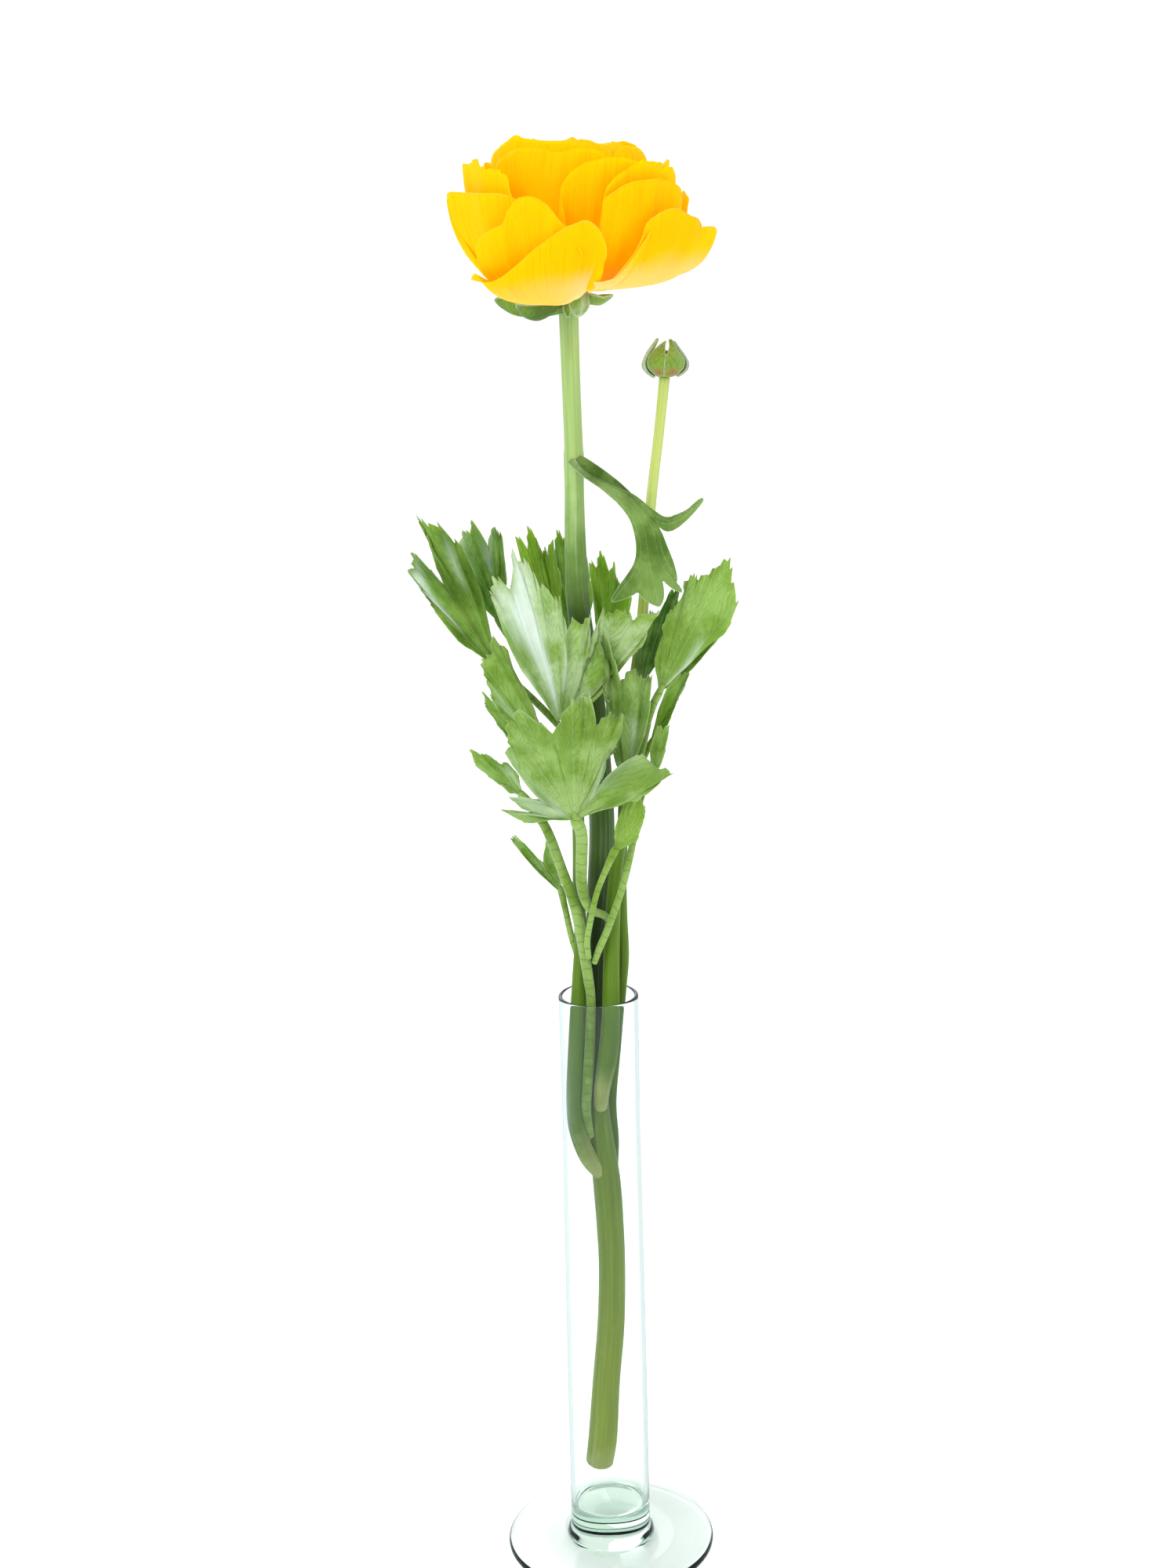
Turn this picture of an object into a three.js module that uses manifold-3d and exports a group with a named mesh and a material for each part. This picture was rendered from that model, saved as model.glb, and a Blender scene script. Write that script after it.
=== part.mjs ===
// A cut ranunculus in a slim glass tube vase: one full bloom, one closed bud and a collar of cut leaves.
// Millimetres, +Z up. The origin is the middle of the vase's flat underside, and the flower faces -Y.
import * as THREE from "three";
import { mergeVertices } from "three/addons/utils/BufferGeometryUtils.js";
import Module from "manifold-3d";

const wasm = await Module();
wasm.setup();

// Driving dimensions
const GAP = 0.3; // between pieces that touch
const BLADE = 0.7; // thickness of leaves and petals
const SEPAL_BLADE = 0.8; // thickness of sepals
const MIDRIB_SHARE = 0.13; // how far a leaf's stalk runs on into its blade, as a share of the blade
const MIDRIB_END = 0.5; // its radius there
const FIRST_NOTCH = 0.7; // where the blade's first margin starts to fall from the first tip
const STEEPEST = 0.5; // cosine of the steepest slope that a blade's offset still makes up for

const VASE = {
  height: 189.5,
  rimRadius: 12.5,
  lowRadius: 12.9,
  wall: 1.3,
  floor: 14,
  floorDome: 1.2,
  jointRadius: 13.8,
  jointHeight: 6,
  footRadius: 33.7,
  footEdge: 2.8,
  sides: 32,
};

const BLOOM = {
  base: [-3, 0, 400],
  tilt: 7, // degrees that the bloom's axis leans to +X
};
// The core that the petals stand on: [radius, height] from its underside to its top
const CORE = [
  [0, 0.5],
  [11, 0.9],
  [17, 2.4],
  [22, 7],
  [24, 14],
  [23.6, 28],
  [19, 38],
  [0, 43],
];

const PETAL_ROWS = [0, 0, 0.36, 0.7, 1]; // where a petal's rows of points lie along its free length
const PETAL_COLUMNS = 4;
const PETAL_SINK = 0.3; // how far its first row is drawn in towards the middle, to root it in the core
const CORE_MIDDLE = [0, 0, 18];
const OUTER_START = 0.32; // the share of an outer petal's length that lies under the core

// The closed bud: its centre, and how many sepals wrap it
const BUD = { centre: [24.2, 8, 382.6], radius: 6.2, height: 10.6, sepals: 5 };

const COLOUR = {
  glass: 0xd8eee0,
  petal: 0xffc800,
  sepal: 0x7a9a3c,
  stem: 0x78a04a,
  stalk: 0xd2dc82,
  under: 0x94b46c,
  upper: 0x3f7a1e,
};

// Routes of the stems: [x, y, z, radius]
const STEM = [
  [-3.4, 5.7, 23, 4.6],
  [-1.9, 5.4, 35, 4.8],
  [-0.3, 5, 55, 4.5],
  [1.6, 4, 75, 4.45],
  [2.4, 3, 95, 4.3],
  [2.1, 3, 111, 4.4],
  [1.2, 2, 128, 4.4],
  [-0.9, 3, 152, 3.5],
  [-0.8, 5, 188, 3.5],
  [1, 6, 218, 3.8],
  [2.4, 5, 245, 3.9],
  [0.6, 3.6, 280, 3.7],
  [-3, 2, 309, 3.5],
  [-3.6, 0, 328, 3.2],
  [-3.5, -1, 346, 2.85],
  [-3.4, -1, 355.5, 3.0],
  [-3.4, -0.8, 360, 2.75],
  [-3.7, 0, 378, 2.7],
  [-3.9, 0, 396.4, 2.85],
];
const LEFT_SHOOT = [
  [-0.6, 0.5, 130, 2.6],
  [-4.4, -1.2, 136, 2.8],
  [-7.4, -2, 145, 2.6],
  [-8.2, -1.5, 154, 2.45],
  [-7.5, -2, 166, 2.4],
  [-6.5, -2, 184, 2.1],
  [-5.8, -2, 195, 1.9],
  [-5, -2, 208, 1.9],
  [-5.2, -2.5, 223, 1.9],
  [-4.8, -4.5, 242, 1.9],
  [-5.4, -6.5, 259, 1.8],
  [-8.2, -9, 273, 1.6],
];
const RIGHT_SHOOT = [
  [-0.2, 0.5, 152, 2.1],
  [0.6, -2.7, 160, 2.5],
  [2.6, -4.5, 172, 2.9],
  [3.7, -4, 184, 2.7],
  [4, -3.4, 192, 2.6],
  [4.6, -2.5, 208, 2.4],
  [5.8, -2, 225, 2.1],
  [7.3, -2, 236, 1.9],
  [10.1, -2, 250, 1.7],
  [13.2, -2, 262, 1.6],
  [16.5, -3.6, 276, 1.4],
];
const BUD_STALK = [
  [2.6, 4.2, 124, 1.9],
  [4, 7.8, 137, 1.7],
  [3.6, 8.5, 151, 1.6],
  [5.5, 7.4, 170, 1.6],
  [7.2, 5.6, 188, 1.6],
  [8.2, 6.4, 200, 1.8],
  [8, 8, 214, 1.7],
  [8.4, 9, 230, 1.6],
  [10.4, 9, 267, 1.6],
  [15.7, 8.5, 303, 1.6],
  [19.2, 8, 340, 1.55],
  [21.8, 8, 360, 1.5],
  [23.8, 8, 376.2, 1.5],
];
const TRAILING_STALK = [
  [-3.4, -1, 143, 1.0],
  [-4.2, -2.6, 152, 1.1],
  [-3.4, -3.6, 161, 1.1],
  [-2.3, -4.3, 172, 1.1],
  [-1.9, -4.7, 188, 1.2],
  [-3, -5.6, 197, 1.6],
  [-5.1, -6.5, 213, 1.7],
  [-6.9, -6.8, 222, 1.7],
  [-9.9, -6.7, 231, 1.6],
  [-14.1, -6.2, 243.6, 1.5],
  [-18.7, -5.6, 251.5, 1.4],
  [-22, -5, 255.5, 1.2],
];

// Leaves. stalk: [x, y, z, radius] from the shoot to the blade. base: where the blade starts.
// tips: the points of the lobes and teeth in order round the fan, [x, y, z, notch], where notch is how far
// out the cut between this tip and the next one starts, as a share of the blade. from and to: points
// beyond the first and last tip that the blade's outer margins lean towards. bow: how far the blade arches.
// The upper leaf hangs from its clasping stalk, and its blade is given by its outline instead.
const LEAVES = {
  leaf_big_front: {
    colour: "under",
    stalk: [],
    base: [-9, -10, 276.5],
    from: [-24, -12, 296],
    tips: [
      [-29.5, -14, 318, 0.9],
      [-28, -15, 324, 0.84],
      [-22, -19, 332, 0.93],
      [-18, -20, 329, 0.93],
      [-12, -18, 320.4, 0.93],
      [-8, -16, 317.3, 0.76],
      [-5.5, -13, 310.5, 0.95],
      [1.2, -11, 311.3, 0.58],
      [4.3, -9, 313.1, 0.93],
      [10, -9, 312.2, 0.9],
      [20.7, -11, 312, 0.93],
      [19, -10.5, 308.5, 0.86],
      [13, -9, 299, 0.7],
    ],
    to: [8, -8.5, 289],
    bow: [0, -2, 0],
  },
  leaf_low_front: {
    colour: "under",
    stalk: [
      [5, -2.5, 213.5, 1.2],
      [2.2, -5, 216.6, 1.2],
      [-2, -8, 219.8, 1.4],
      [-4.2, -10.5, 228, 1.7],
      [-3.8, -13.5, 244, 1.8],
      [-5.4, -15, 249, 1.8],
    ],
    base: [-6, -15.5, 249.5],
    from: [-20, -17, 249],
    tips: [
      [-28.9, -18, 253.5, 0.6],
      [-25.4, -18, 258.2, 0.5],
      [-26.3, -19, 271, 0.9],
      [-25.4, -20, 281.5, 0.9],
      [-21.6, -20, 285.4, 0.76],
      [-5.8, -19, 287.6, 0.95],
      [-0.7, -19, 289.1, 0.84],
      [5.9, -18.5, 283.3, 0.93],
      [9.3, -19, 282.8, 0.75],
      [6.5, -17, 275.5, 0.5],
      [13.8, -14, 269.7, 0.93],
      [24.7, -14, 262.8, 0.7],
    ],
    to: [15, -14, 257],
    bow: [0, -2.5, 0],
  },
  leaf_middle_right: {
    colour: "under",
    stalk: [
      [9.4, -2.4, 247, 0.9],
      [9.8, -4.8, 252, 0.9],
      [10, -6, 256, 0.9],
    ],
    base: [10, -6.2, 256],
    from: [4, -8, 272],
    tips: [
      [4.8, -12, 284.4, 0.93],
      [4.2, -13, 290.5, 0.93],
      [2.8, -14, 303, 0.95],
      [4.4, -14, 307, 0.8],
      [13.4, -12.5, 295.4, 0.9],
      [18, -10.5, 292.5, 0.7],
    ],
    to: [20, -9, 276],
    bow: [-0.8, -1.5, 0],
  },
  leaf_right: {
    colour: "under",
    stalk: [
      [16.6, -3.7, 276.35, 1.3],
      [18.6, -5, 282, 1.2],
      [20.6, -5.5, 286, 1.1],
    ],
    base: [20.4, -5.5, 285.5],
    from: [16.5, -5.5, 296],
    tips: [
      [21, -6, 303, 0.88],
      [23.5, -7, 310, 0.93],
      [28.5, -8, 317.5, 0.95],
      [31, -9, 322.2, 0.95],
      [35, -9.5, 322.3, 0.95],
      [41.8, -11, 326.8, 0.93],
      [44.2, -10.5, 313.7, 0.88],
    ],
    to: [37, -8, 303],
    bow: [0, -1.5, 0],
  },
  leaf_right_edge: {
    colour: "upper",
    stalk: [
      [15.8, -2, 271, 0.9],
      [17.6, 1.6, 277, 0.9],
      [20.6, 4, 284, 0.9],
    ],
    base: [20.6, 4, 284],
    from: [24, 7, 297],
    tips: [
      [37.2, 7, 303.6, 0.9],
      [40.7, 6, 307, 0.93],
      [42.9, 5, 304.8, 0.9],
      [39, 4, 300, 0.7],
    ],
    to: [33, 3.4, 291],
    bow: [0, 0, -2],
  },
  leaf_right_small: {
    colour: "upper",
    stalk: [
      [13.4, -2, 261, 0.9],
      [15.8, -0.6, 265, 0.9],
      [17.6, -0.2, 269, 0.9],
    ],
    base: [17.6, -0.2, 269],
    from: [18.6, 0, 282],
    tips: [
      [25.5, 0.8, 291, 0.9],
      [30, 1, 291, 0.93],
      [28.5, 0.6, 286.5, 0.93],
      [26, 0, 281.5, 0.8],
    ],
    to: [24, -1, 272],
    bow: [0, 0, 0],
  },
  leaf_right_low: {
    colour: "upper",
    stalk: [
      [-1, -7.2, 202, 0.9],
      [0.8, -7.6, 207, 1.1],
      [3.6, -7.6, 213.4, 1.1],
      [8.4, -7, 226.7, 1.1],
      [11.8, -6.6, 240.7, 1.1],
      [14.1, -6.6, 252.7, 1.0],
      [17.3, -6.8, 261, 1.0],
    ],
    base: [17.3, -6.8, 260.6],
    from: [15.5, -7, 268],
    tips: [
      [19.7, -7.5, 276.5, 0.85],
      [23.3, -8, 276.4, 0.8],
      [22, -7, 268, 0.7],
    ],
    to: [21, -6, 262],
    bow: [0, 0, 0],
  },
  leaf_right_behind: {
    colour: "upper",
    stalk: [
      [3.4, 4.4, 264, 0.9],
      [9, 5.4, 274, 0.9],
      [15, 5.6, 285, 0.9],
    ],
    base: [15, 5.6, 285],
    from: [12, 6, 298],
    tips: [
      [15.5, 6, 306, 0.85],
      [18.6, 7, 309, 0.8],
      [25, 8, 315, 0.93],
      [28, 8, 316, 0.85],
      [28, 8, 308, 0.8],
    ],
    to: [27, 7, 298],
    bow: [0, 1, 0],
  },
  leaf_spoon: {
    colour: "under",
    stalk: [
      [-2.6, -8.6, 204, 0.8],
      [-3, -9.2, 209, 0.9],
      [-2.3, -9.8, 214, 0.9],
      [0.2, -10.6, 225, 0.9],
      [3.4, -11, 233, 1.0],
      [6, -11, 238.5, 1.2],
    ],
    base: [6, -11, 238],
    from: [4.5, -11.5, 246],
    tips: [
      [8.4, -12, 252, 0.93],
      [11.8, -12.5, 257, 0.93],
      [13.9, -12.5, 257.5, 0.93],
      [15.6, -12, 252, 0.93],
      [14.6, -11.5, 246, 0.9],
    ],
    to: [12, -11, 239],
    bow: [0, -1, 0],
  },
  leaf_left_low: {
    colour: "under",
    stalk: TRAILING_STALK,
    base: [-21.5, -5, 255],
    from: [-25, -4.6, 254],
    tips: [
      [-28.6, -4, 258.9, 0.8],
      [-35.1, -3, 263.6, 0.9],
      [-37.3, -3, 269.3, 0.9],
      [-31.9, -4, 268, 0.85],
      [-25.8, -5, 265.4, 0.8],
    ],
    to: [-20.5, -5.4, 261],
    bow: [0, -1, 0],
  },
  leaf_left_small: {
    colour: "under",
    stalk: [
      [-5.4, -4.6, 247, 0.9],
      [-8.6, -1.4, 251.5, 0.9],
      [-12.5, 1.6, 258, 0.9],
    ],
    base: [-12.5, 1.6, 258],
    from: [-19, 3.6, 262],
    tips: [
      [-27, 5, 272, 0.8],
      [-32.4, 6, 280, 0.93],
      [-33.2, 6, 285.3, 0.85],
      [-27, 5, 280, 0.7],
    ],
    to: [-19, 3, 276],
    bow: [0, 0, 0],
  },
  leaf_left_narrow: {
    colour: "upper",
    stalk: [
      [-5.4, -2, 200, 0.9],
      [-7.8, 0.2, 208, 1.0],
      [-9.6, 1.6, 217, 1.0],
      [-10.8, 2, 223, 1.1],
    ],
    base: [-10.5, 2.1, 221.6],
    from: [-16, 2.6, 226],
    tips: [
      [-25.7, 4, 238.3, 0.95],
      [-24.6, 4, 240.6, 0.55],
      [-14.8, 1.4, 239.8, 0.8],
      [-12.6, 0.6, 236, 0.7],
    ],
    to: [-9.6, 1, 231],
    bow: [0, 0, 0],
  },
  leaf_left_folded: {
    colour: "under",
    stalk: [
      [-5.4, -6.4, 257, 0.9],
      [-8.6, -3.4, 261, 0.9],
      [-11, -2.6, 265, 0.9],
    ],
    base: [-11, -2.6, 264.5],
    from: [-20, -2, 269],
    tips: [
      [-26, -1.6, 277.6, 0.93],
      [-30.1, -1.2, 284.2, 0.94],
      [-31.8, -1, 289.5, 0.94],
      [-33.2, -0.6, 296.3, 0.9],
      [-29.4, 0, 304.3, 0.88],
      [-24.8, 0, 295, 0.8],
    ],
    to: [-16, -1.4, 281],
    bow: [0, -1.5, 0],
  },
  leaf_far_left: {
    colour: "upper",
    stalk: [
      [-0.5, 3, 262, 1.2],
      [-8, 4, 272, 1.2],
      [-19, 4.4, 284, 1.1],
      [-28, 4.4, 292.5, 1.1],
    ],
    base: [-27.6, 4.4, 292],
    from: [-38, 5, 297],
    tips: [
      [-46.9, 6, 310.4, 0.93],
      [-51.1, 7, 316.9, 0.93],
      [-54.6, 8, 322.7, 0.93],
      [-53.4, 8, 329, 0.7],
      [-48.4, 8, 331.5, 0.93],
      [-51.4, 9, 339.1, 0.93],
      [-45.1, 9, 337, 0.93],
      [-38, 9, 329.6, 0.8],
    ],
    to: [-30, 7, 313],
    bow: [0, -1, 0],
  },
  leaf_far_left_behind: {
    colour: "under",
    stalk: [
      [-1, 5, 276, 1.0],
      [-10, 10, 284, 1.0],
      [-20, 12.5, 294, 1.0],
      [-27.5, 13, 305, 1.0],
    ],
    base: [-27.3, 13, 304],
    from: [-38, 14, 312],
    tips: [
      [-48.9, 15, 334.6, 0.7],
      [-38, 16, 333.5, 0.9],
      [-35, 16, 336.5, 0.75],
      [-28.4, 17, 334.6, 0.9],
      [-25.6, 17, 331.5, 0.7],
    ],
    to: [-22, 15, 314],
    bow: [0, 2, 2],
  },
  leaf_back_left: {
    colour: "upper",
    stalk: [
      [-0.8, 5.4, 268, 0.9],
      [-5, 13, 280, 0.9],
      [-9.5, 17, 296, 0.9],
    ],
    base: [-9.3, 17, 295],
    from: [-17, 19, 305],
    tips: [
      [-22.6, 22, 331.4, 0.8],
      [-18.4, 23, 334, 0.9],
      [-15.6, 23, 329.6, 0.9],
      [-13, 23, 327.4, 0.85],
      [-10.6, 22, 330, 0.8],
    ],
    to: [-7, 20, 309],
    bow: [0, 0, 0],
  },
  leaf_back_middle: {
    colour: "under",
    stalk: [
      [0.5, 6, 258, 0.9],
      [-1, 15, 272, 0.9],
      [-4, 22, 290, 0.9],
    ],
    base: [-3.9, 22, 289],
    from: [-10, 24, 302],
    tips: [
      [-11.5, 27, 323, 0.9],
      [-9.4, 28, 332, 0.9],
      [-5.4, 28, 331, 0.9],
      [-0.5, 28, 325, 0.8],
    ],
    to: [4, 26, 305],
    bow: [0, 0, 0],
  },
  leaf_back_right: {
    colour: "upper",
    stalk: [
      [2.6, 5.4, 254, 0.9],
      [5.4, 14, 270, 0.9],
      [5, 18, 290, 0.9],
    ],
    base: [5, 18, 289],
    from: [-0.5, 18, 303],
    tips: [
      [0, 19, 323, 0.85],
      [4, 21, 326, 0.85],
      [8.2, 22, 322, 0.93],
      [9.4, 22, 316.5, 0.9],
      [13.5, 21, 311, 0.8],
    ],
    to: [12, 20, 300],
    bow: [0, 1, 0],
  },
  leaf_upper: {
    colour: "upper",
    stalk: [
      [-3, -2, 355.5, 1.5],
      [-1, -5, 354.6, 1.7],
      [4, -7.6, 351.2, 1.9],
      [9.6, -9.6, 346.6, 1.9],
      [13, -11, 343, MIDRIB_END],
    ],
    outline: [
      [3.3, -8, 352.2],
      [5.9, -8.5, 351.6],
      [10, -9.5, 348.5],
      [13.4, -10.5, 345],
      [16.5, -11.5, 343.3],
      [19.6, -12, 340.7],
      [22, -12.5, 339.1],
      [24.4, -13, 338.7],
      [26.5, -13.3, 339.4],
      [28.9, -13.6, 341],
      [31.5, -14, 342.5],
      [32.1, -14, 341.7],
      [33.6, -14.2, 343.2],
      [31.7, -14, 340.8],
      [28.9, -13.6, 337.7],
      [26.4, -13.2, 336.3],
      [23.6, -12.8, 335.9],
      [20.4, -12.5, 335.6],
      [21.8, -13.2, 331.2],
      [22.6, -14, 327.7],
      [23.4, -14.8, 324],
      [25.9, -15.4, 320.8],
      [27.1, -16, 317],
      [22.2, -15.4, 320.4],
      [19.5, -15, 321.5],
      [19.3, -15.6, 318.3],
      [20.4, -16.4, 313],
      [17.5, -16, 315.6],
      [15.9, -15.4, 318.6],
      [13, -15.6, 317.1],
      [6.8, -16, 314.7],
      [9.3, -15.6, 318.1],
      [12.6, -14.8, 322.8],
      [13.9, -14, 328],
      [13.9, -13.2, 332.8],
      [12.9, -12.6, 336.9],
      [10.5, -11.8, 341],
      [7.5, -10.8, 344.5],
      [4.1, -9.6, 347.2],
      [1, -8, 349.8],
    ],
  },
};

// Petals of the bloom: azimuth of the middle (0 is +X, 90 is +Y), reach of the bowl that the petal lies
// on, its half height, the angle that the petal ends at (-90 is the base, 0 the widest ring, 90 the top),
// half the angle that it takes up, how much higher its far side stands, how square the bowl is (1 is
// round), how far its end flares out and how far it sags below its root.
const OUTER_PETALS = [
  { azimuth: 246, reach: 36.5, half: 25, end: -16, spread: 46, slant: 20, square: 0.5, flare: 0, sag: 3.2 },
  { azimuth: 338, reach: 36, half: 25, end: -2, spread: 36, slant: -2, square: 0.8, flare: 2.6, sag: -2.4 },
  { azimuth: 202, reach: 35.4, half: 25, end: 4, spread: 42, slant: 2, square: 0.8, flare: 1.6, sag: 0 },
  { azimuth: 108, reach: 35.6, half: 25, end: 0, spread: 46, slant: 6, square: 0.7, flare: 2, sag: 0 },
  { azimuth: 24, reach: 34.4, half: 25, end: 5, spread: 40, slant: -6, square: 0.8, flare: 2, sag: -1 },
  { azimuth: 300, reach: 34.4, half: 25, end: 14, spread: 34, slant: -4, square: 0.7, flare: 0, sag: 0 },
  { azimuth: 156, reach: 33.4, half: 25, end: 8, spread: 38, slant: 4, square: 0.8, flare: 1, sag: 0 },
  { azimuth: 242, reach: 33.4, half: 25, end: 13, spread: 34, slant: 2, square: 0.8, flare: 0, sag: 0 },
  { azimuth: 66, reach: 32.6, half: 25, end: 14, spread: 42, slant: 0, square: 0.8, flare: 0.5, sag: 0 },
  { azimuth: 203, reach: 32.8, half: 27, end: 21, spread: 30, slant: -3, square: 0.4, flare: 2.2, sag: 0 },
  { azimuth: 346, reach: 31.2, half: 25, end: 24, spread: 34, slant: 0, square: 0.6, flare: 0.6, sag: 0 },
  { azimuth: 126, reach: 30.6, half: 25, end: 28, spread: 40, slant: 0, square: 0.6, flare: 0.4, sag: 0 },
];
const INNER_PETALS = {
  count: 7,
  reach: [28, 24],
  half: [23.8, 23.4],
  end: [44, 68],
  spread: [38, 46],
  square: [0.55, 0.5],
  start: [0.42, 0.56],
};
const FRONT_TURN = 280; // azimuth of the first inner petal, the round one that faces the front
const GOLDEN_ANGLE = 137.5;

// Sepals: azimuth, length, how far the tip drops below the root, half the width, and how far the sides
// hang below the middle line.
const SEPALS = [
  { azimuth: 206, length: 20.5, drop: -0.6, width: 5.8, arch: 3 },
  { azimuth: 262, length: 8.5, drop: 3.4, width: 2.6, arch: 0.8 },
  { azimuth: 304, length: 9, drop: 2.2, width: 4.4, arch: 1.6 },
  { azimuth: 350, length: 12.5, drop: 0.8, width: 4.6, arch: 1.4 },
  { azimuth: 78, length: 14, drop: 1.5, width: 5.4, arch: 2 },
];

const vector = (p) => new THREE.Vector3(p[0], p[1], p[2]);
const radians = THREE.MathUtils.degToRad;
const mix = THREE.MathUtils.lerp;

// Turns a closed geometry into a manifold-3d solid that faces outward.
function solidOf(geometry) {
  const bare = new THREE.BufferGeometry().setAttribute("position", geometry.getAttribute("position"));
  if (geometry.index) bare.setIndex(geometry.index);
  const merged = mergeVertices(bare, 1e-4);
  const make = (triVerts) =>
    new wasm.Manifold(
      new wasm.Mesh({ numProp: 3, vertProperties: merged.attributes.position.array, triVerts }),
    );
  const faces = new Uint32Array(merged.index.array);
  const solid = make(faces);
  if (solid.volume() > 0) return solid;
  for (let i = 0; i < faces.length; i += 3) [faces[i + 1], faces[i + 2]] = [faces[i + 2], faces[i + 1]];
  return make(faces);
}

// Turns a manifold-3d solid back into a geometry with flat faces.
function geometryOf(solid) {
  const mesh = solid.getMesh();
  const geometry = new THREE.BufferGeometry()
    .setAttribute("position", new THREE.BufferAttribute(mesh.vertProperties, mesh.numProp))
    .setIndex(new THREE.BufferAttribute(mesh.triVerts, 1));
  geometry.computeVertexNormals();
  return geometry;
}

// The largest body of a solid, so that a loose scrap is dropped.
function mainBody(solid) {
  return solid.decompose().reduce((a, b) => (a.volume() > b.volume() ? a : b));
}

// A closed tube along a smooth curve through [x, y, z, radius] points, with flat ends.
function stalk(points, { sides = 8, extra = 0 } = {}) {
  const curve = new THREE.CatmullRomCurve3(points.map(vector), false, "centripetal");
  const count = points.length - 1;
  const frames = curve.computeFrenetFrames(count, false);
  const positions = [];
  const index = [];
  for (let i = 0; i <= count; i++) {
    const centre = curve.getPoint(i / count);
    const radius = points[i][3] + extra;
    for (let k = 0; k < sides; k++) {
      const angle = (2 * Math.PI * k) / sides;
      const p = centre
        .clone()
        .addScaledVector(frames.normals[i], radius * Math.cos(angle))
        .addScaledVector(frames.binormals[i], radius * Math.sin(angle));
      positions.push(p.x, p.y, p.z);
      if (i < count) {
        const a = i * sides + k;
        const b = i * sides + ((k + 1) % sides);
        index.push(a, b, b + sides, a, b + sides, a + sides);
      }
    }
  }
  for (let k = 1; k < sides - 1; k++) {
    const last = count * sides;
    index.push(0, k + 1, k, last, last + k, last + k + 1);
  }
  return solidOf(
    new THREE.BufferGeometry()
      .setAttribute("position", new THREE.Float32BufferAttribute(positions, 3))
      .setIndex(index),
  );
}

// A thin closed solid about the surface place(column, row): both faces are split alike, with a wall all round.
// Its faces lie to each side along the surface's normal, or along facing where the sheet has one.
function sheet(columns, rows, place, thickness, facing) {
  const wide = columns + 1;
  const at = (i, j) =>
    place(THREE.MathUtils.clamp(i, 0, columns), THREE.MathUtils.clamp(j, 0, rows));
  const middle = [];
  const offset = [];
  for (let j = 0; j <= rows; j++)
    for (let i = 0; i <= columns; i++) {
      const across = at(i + 1, j).sub(at(i - 1, j));
      const along = at(i, j + 1).sub(at(i, j - 1));
      middle.push(at(i, j));
      const normal = across.cross(along).setLength(thickness / 2);
      if (facing) {
        const share = Math.max(STEEPEST, Math.abs(normal.dot(facing)) / normal.length());
        normal.copy(facing).setLength(thickness / 2 / share);
      }
      offset.push(normal);
    }
  const positions = [];
  for (const side of [1, -1])
    middle.forEach((p, n) => positions.push(...p.clone().addScaledVector(offset[n], side).toArray()));
  const under = middle.length;
  const index = [];
  for (let j = 0; j < rows; j++)
    for (let i = 0; i < columns; i++) {
      const a = j * wide + i;
      const [b, c, d] = [a + 1, a + wide + 1, a + wide];
      index.push(a, b, c, a, c, d);
      index.push(under + a, under + c, under + b, under + a, under + d, under + c);
    }
  const rim = [];
  for (let i = 0; i < columns; i++) rim.push(i);
  for (let j = 0; j < rows; j++) rim.push(j * wide + columns);
  for (let i = columns; i > 0; i--) rim.push(rows * wide + i);
  for (let j = rows; j > 0; j--) rim.push(j * wide);
  rim.forEach((a, n) => {
    const b = rim[(n + 1) % rim.length];
    index.push(a, under + a, under + b, a, under + b, b);
  });
  return solidOf(
    new THREE.BufferGeometry()
      .setAttribute("position", new THREE.Float32BufferAttribute(positions, 3))
      .setIndex(index),
  );
}

// A leaf's blade: a fan of midribs from the base to the tips. Between two tips the surface runs from one
// midrib to the other, and its margin falls from the tip to the notch.
function blade(leaf) {
  const stepsPerSide = 2;
  const start = 0.05;
  const rows = [0, 0.5, 1];
  const base = vector(leaf.base);
  const bow = vector(leaf.bow);
  const ends = [[...leaf.from, 0], ...leaf.tips, [...leaf.to, 0]];
  const ribs = ends.map((tip) => {
    const end = vector(tip);
    const bend = base.clone().lerp(end, 0.5).add(bow);
    return new THREE.QuadraticBezierCurve3(base, bend, end);
  });
  const facing = ends.slice(1).reduce((sum, end, n) => {
    const [a, b] = [vector(ends[n]).sub(base), vector(end).sub(base)];
    return sum.add(a.cross(b));
  }, new THREE.Vector3());
  const columns = leaf.tips.length * 2 * stepsPerSide;
  return sheet(
    columns,
    rows.length - 1,
    (i, j) => {
      const lobe = Math.min(Math.floor(i / (2 * stepsPerSide)), leaf.tips.length - 1);
      const side = i / stepsPerSide - 2 * lobe - 1;
      const own = lobe + 1;
      const next = side < 0 ? own - 1 : own + 1;
      const cut = side < 0 ? (lobe === 0 ? FIRST_NOTCH : ends[own - 1][3]) : ends[own][3];
      const reach = cut + (1 - cut) * Math.pow(1 - Math.pow(Math.abs(side), 1.15), 0.9);
      const along = (start + (1 - start) * rows[j]) * reach;
      return ribs[own].getPoint(along).lerp(ribs[next].getPoint(along), 0.5 * Math.abs(side));
    },
    BLADE,
    facing.normalize(),
  );
}

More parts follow.
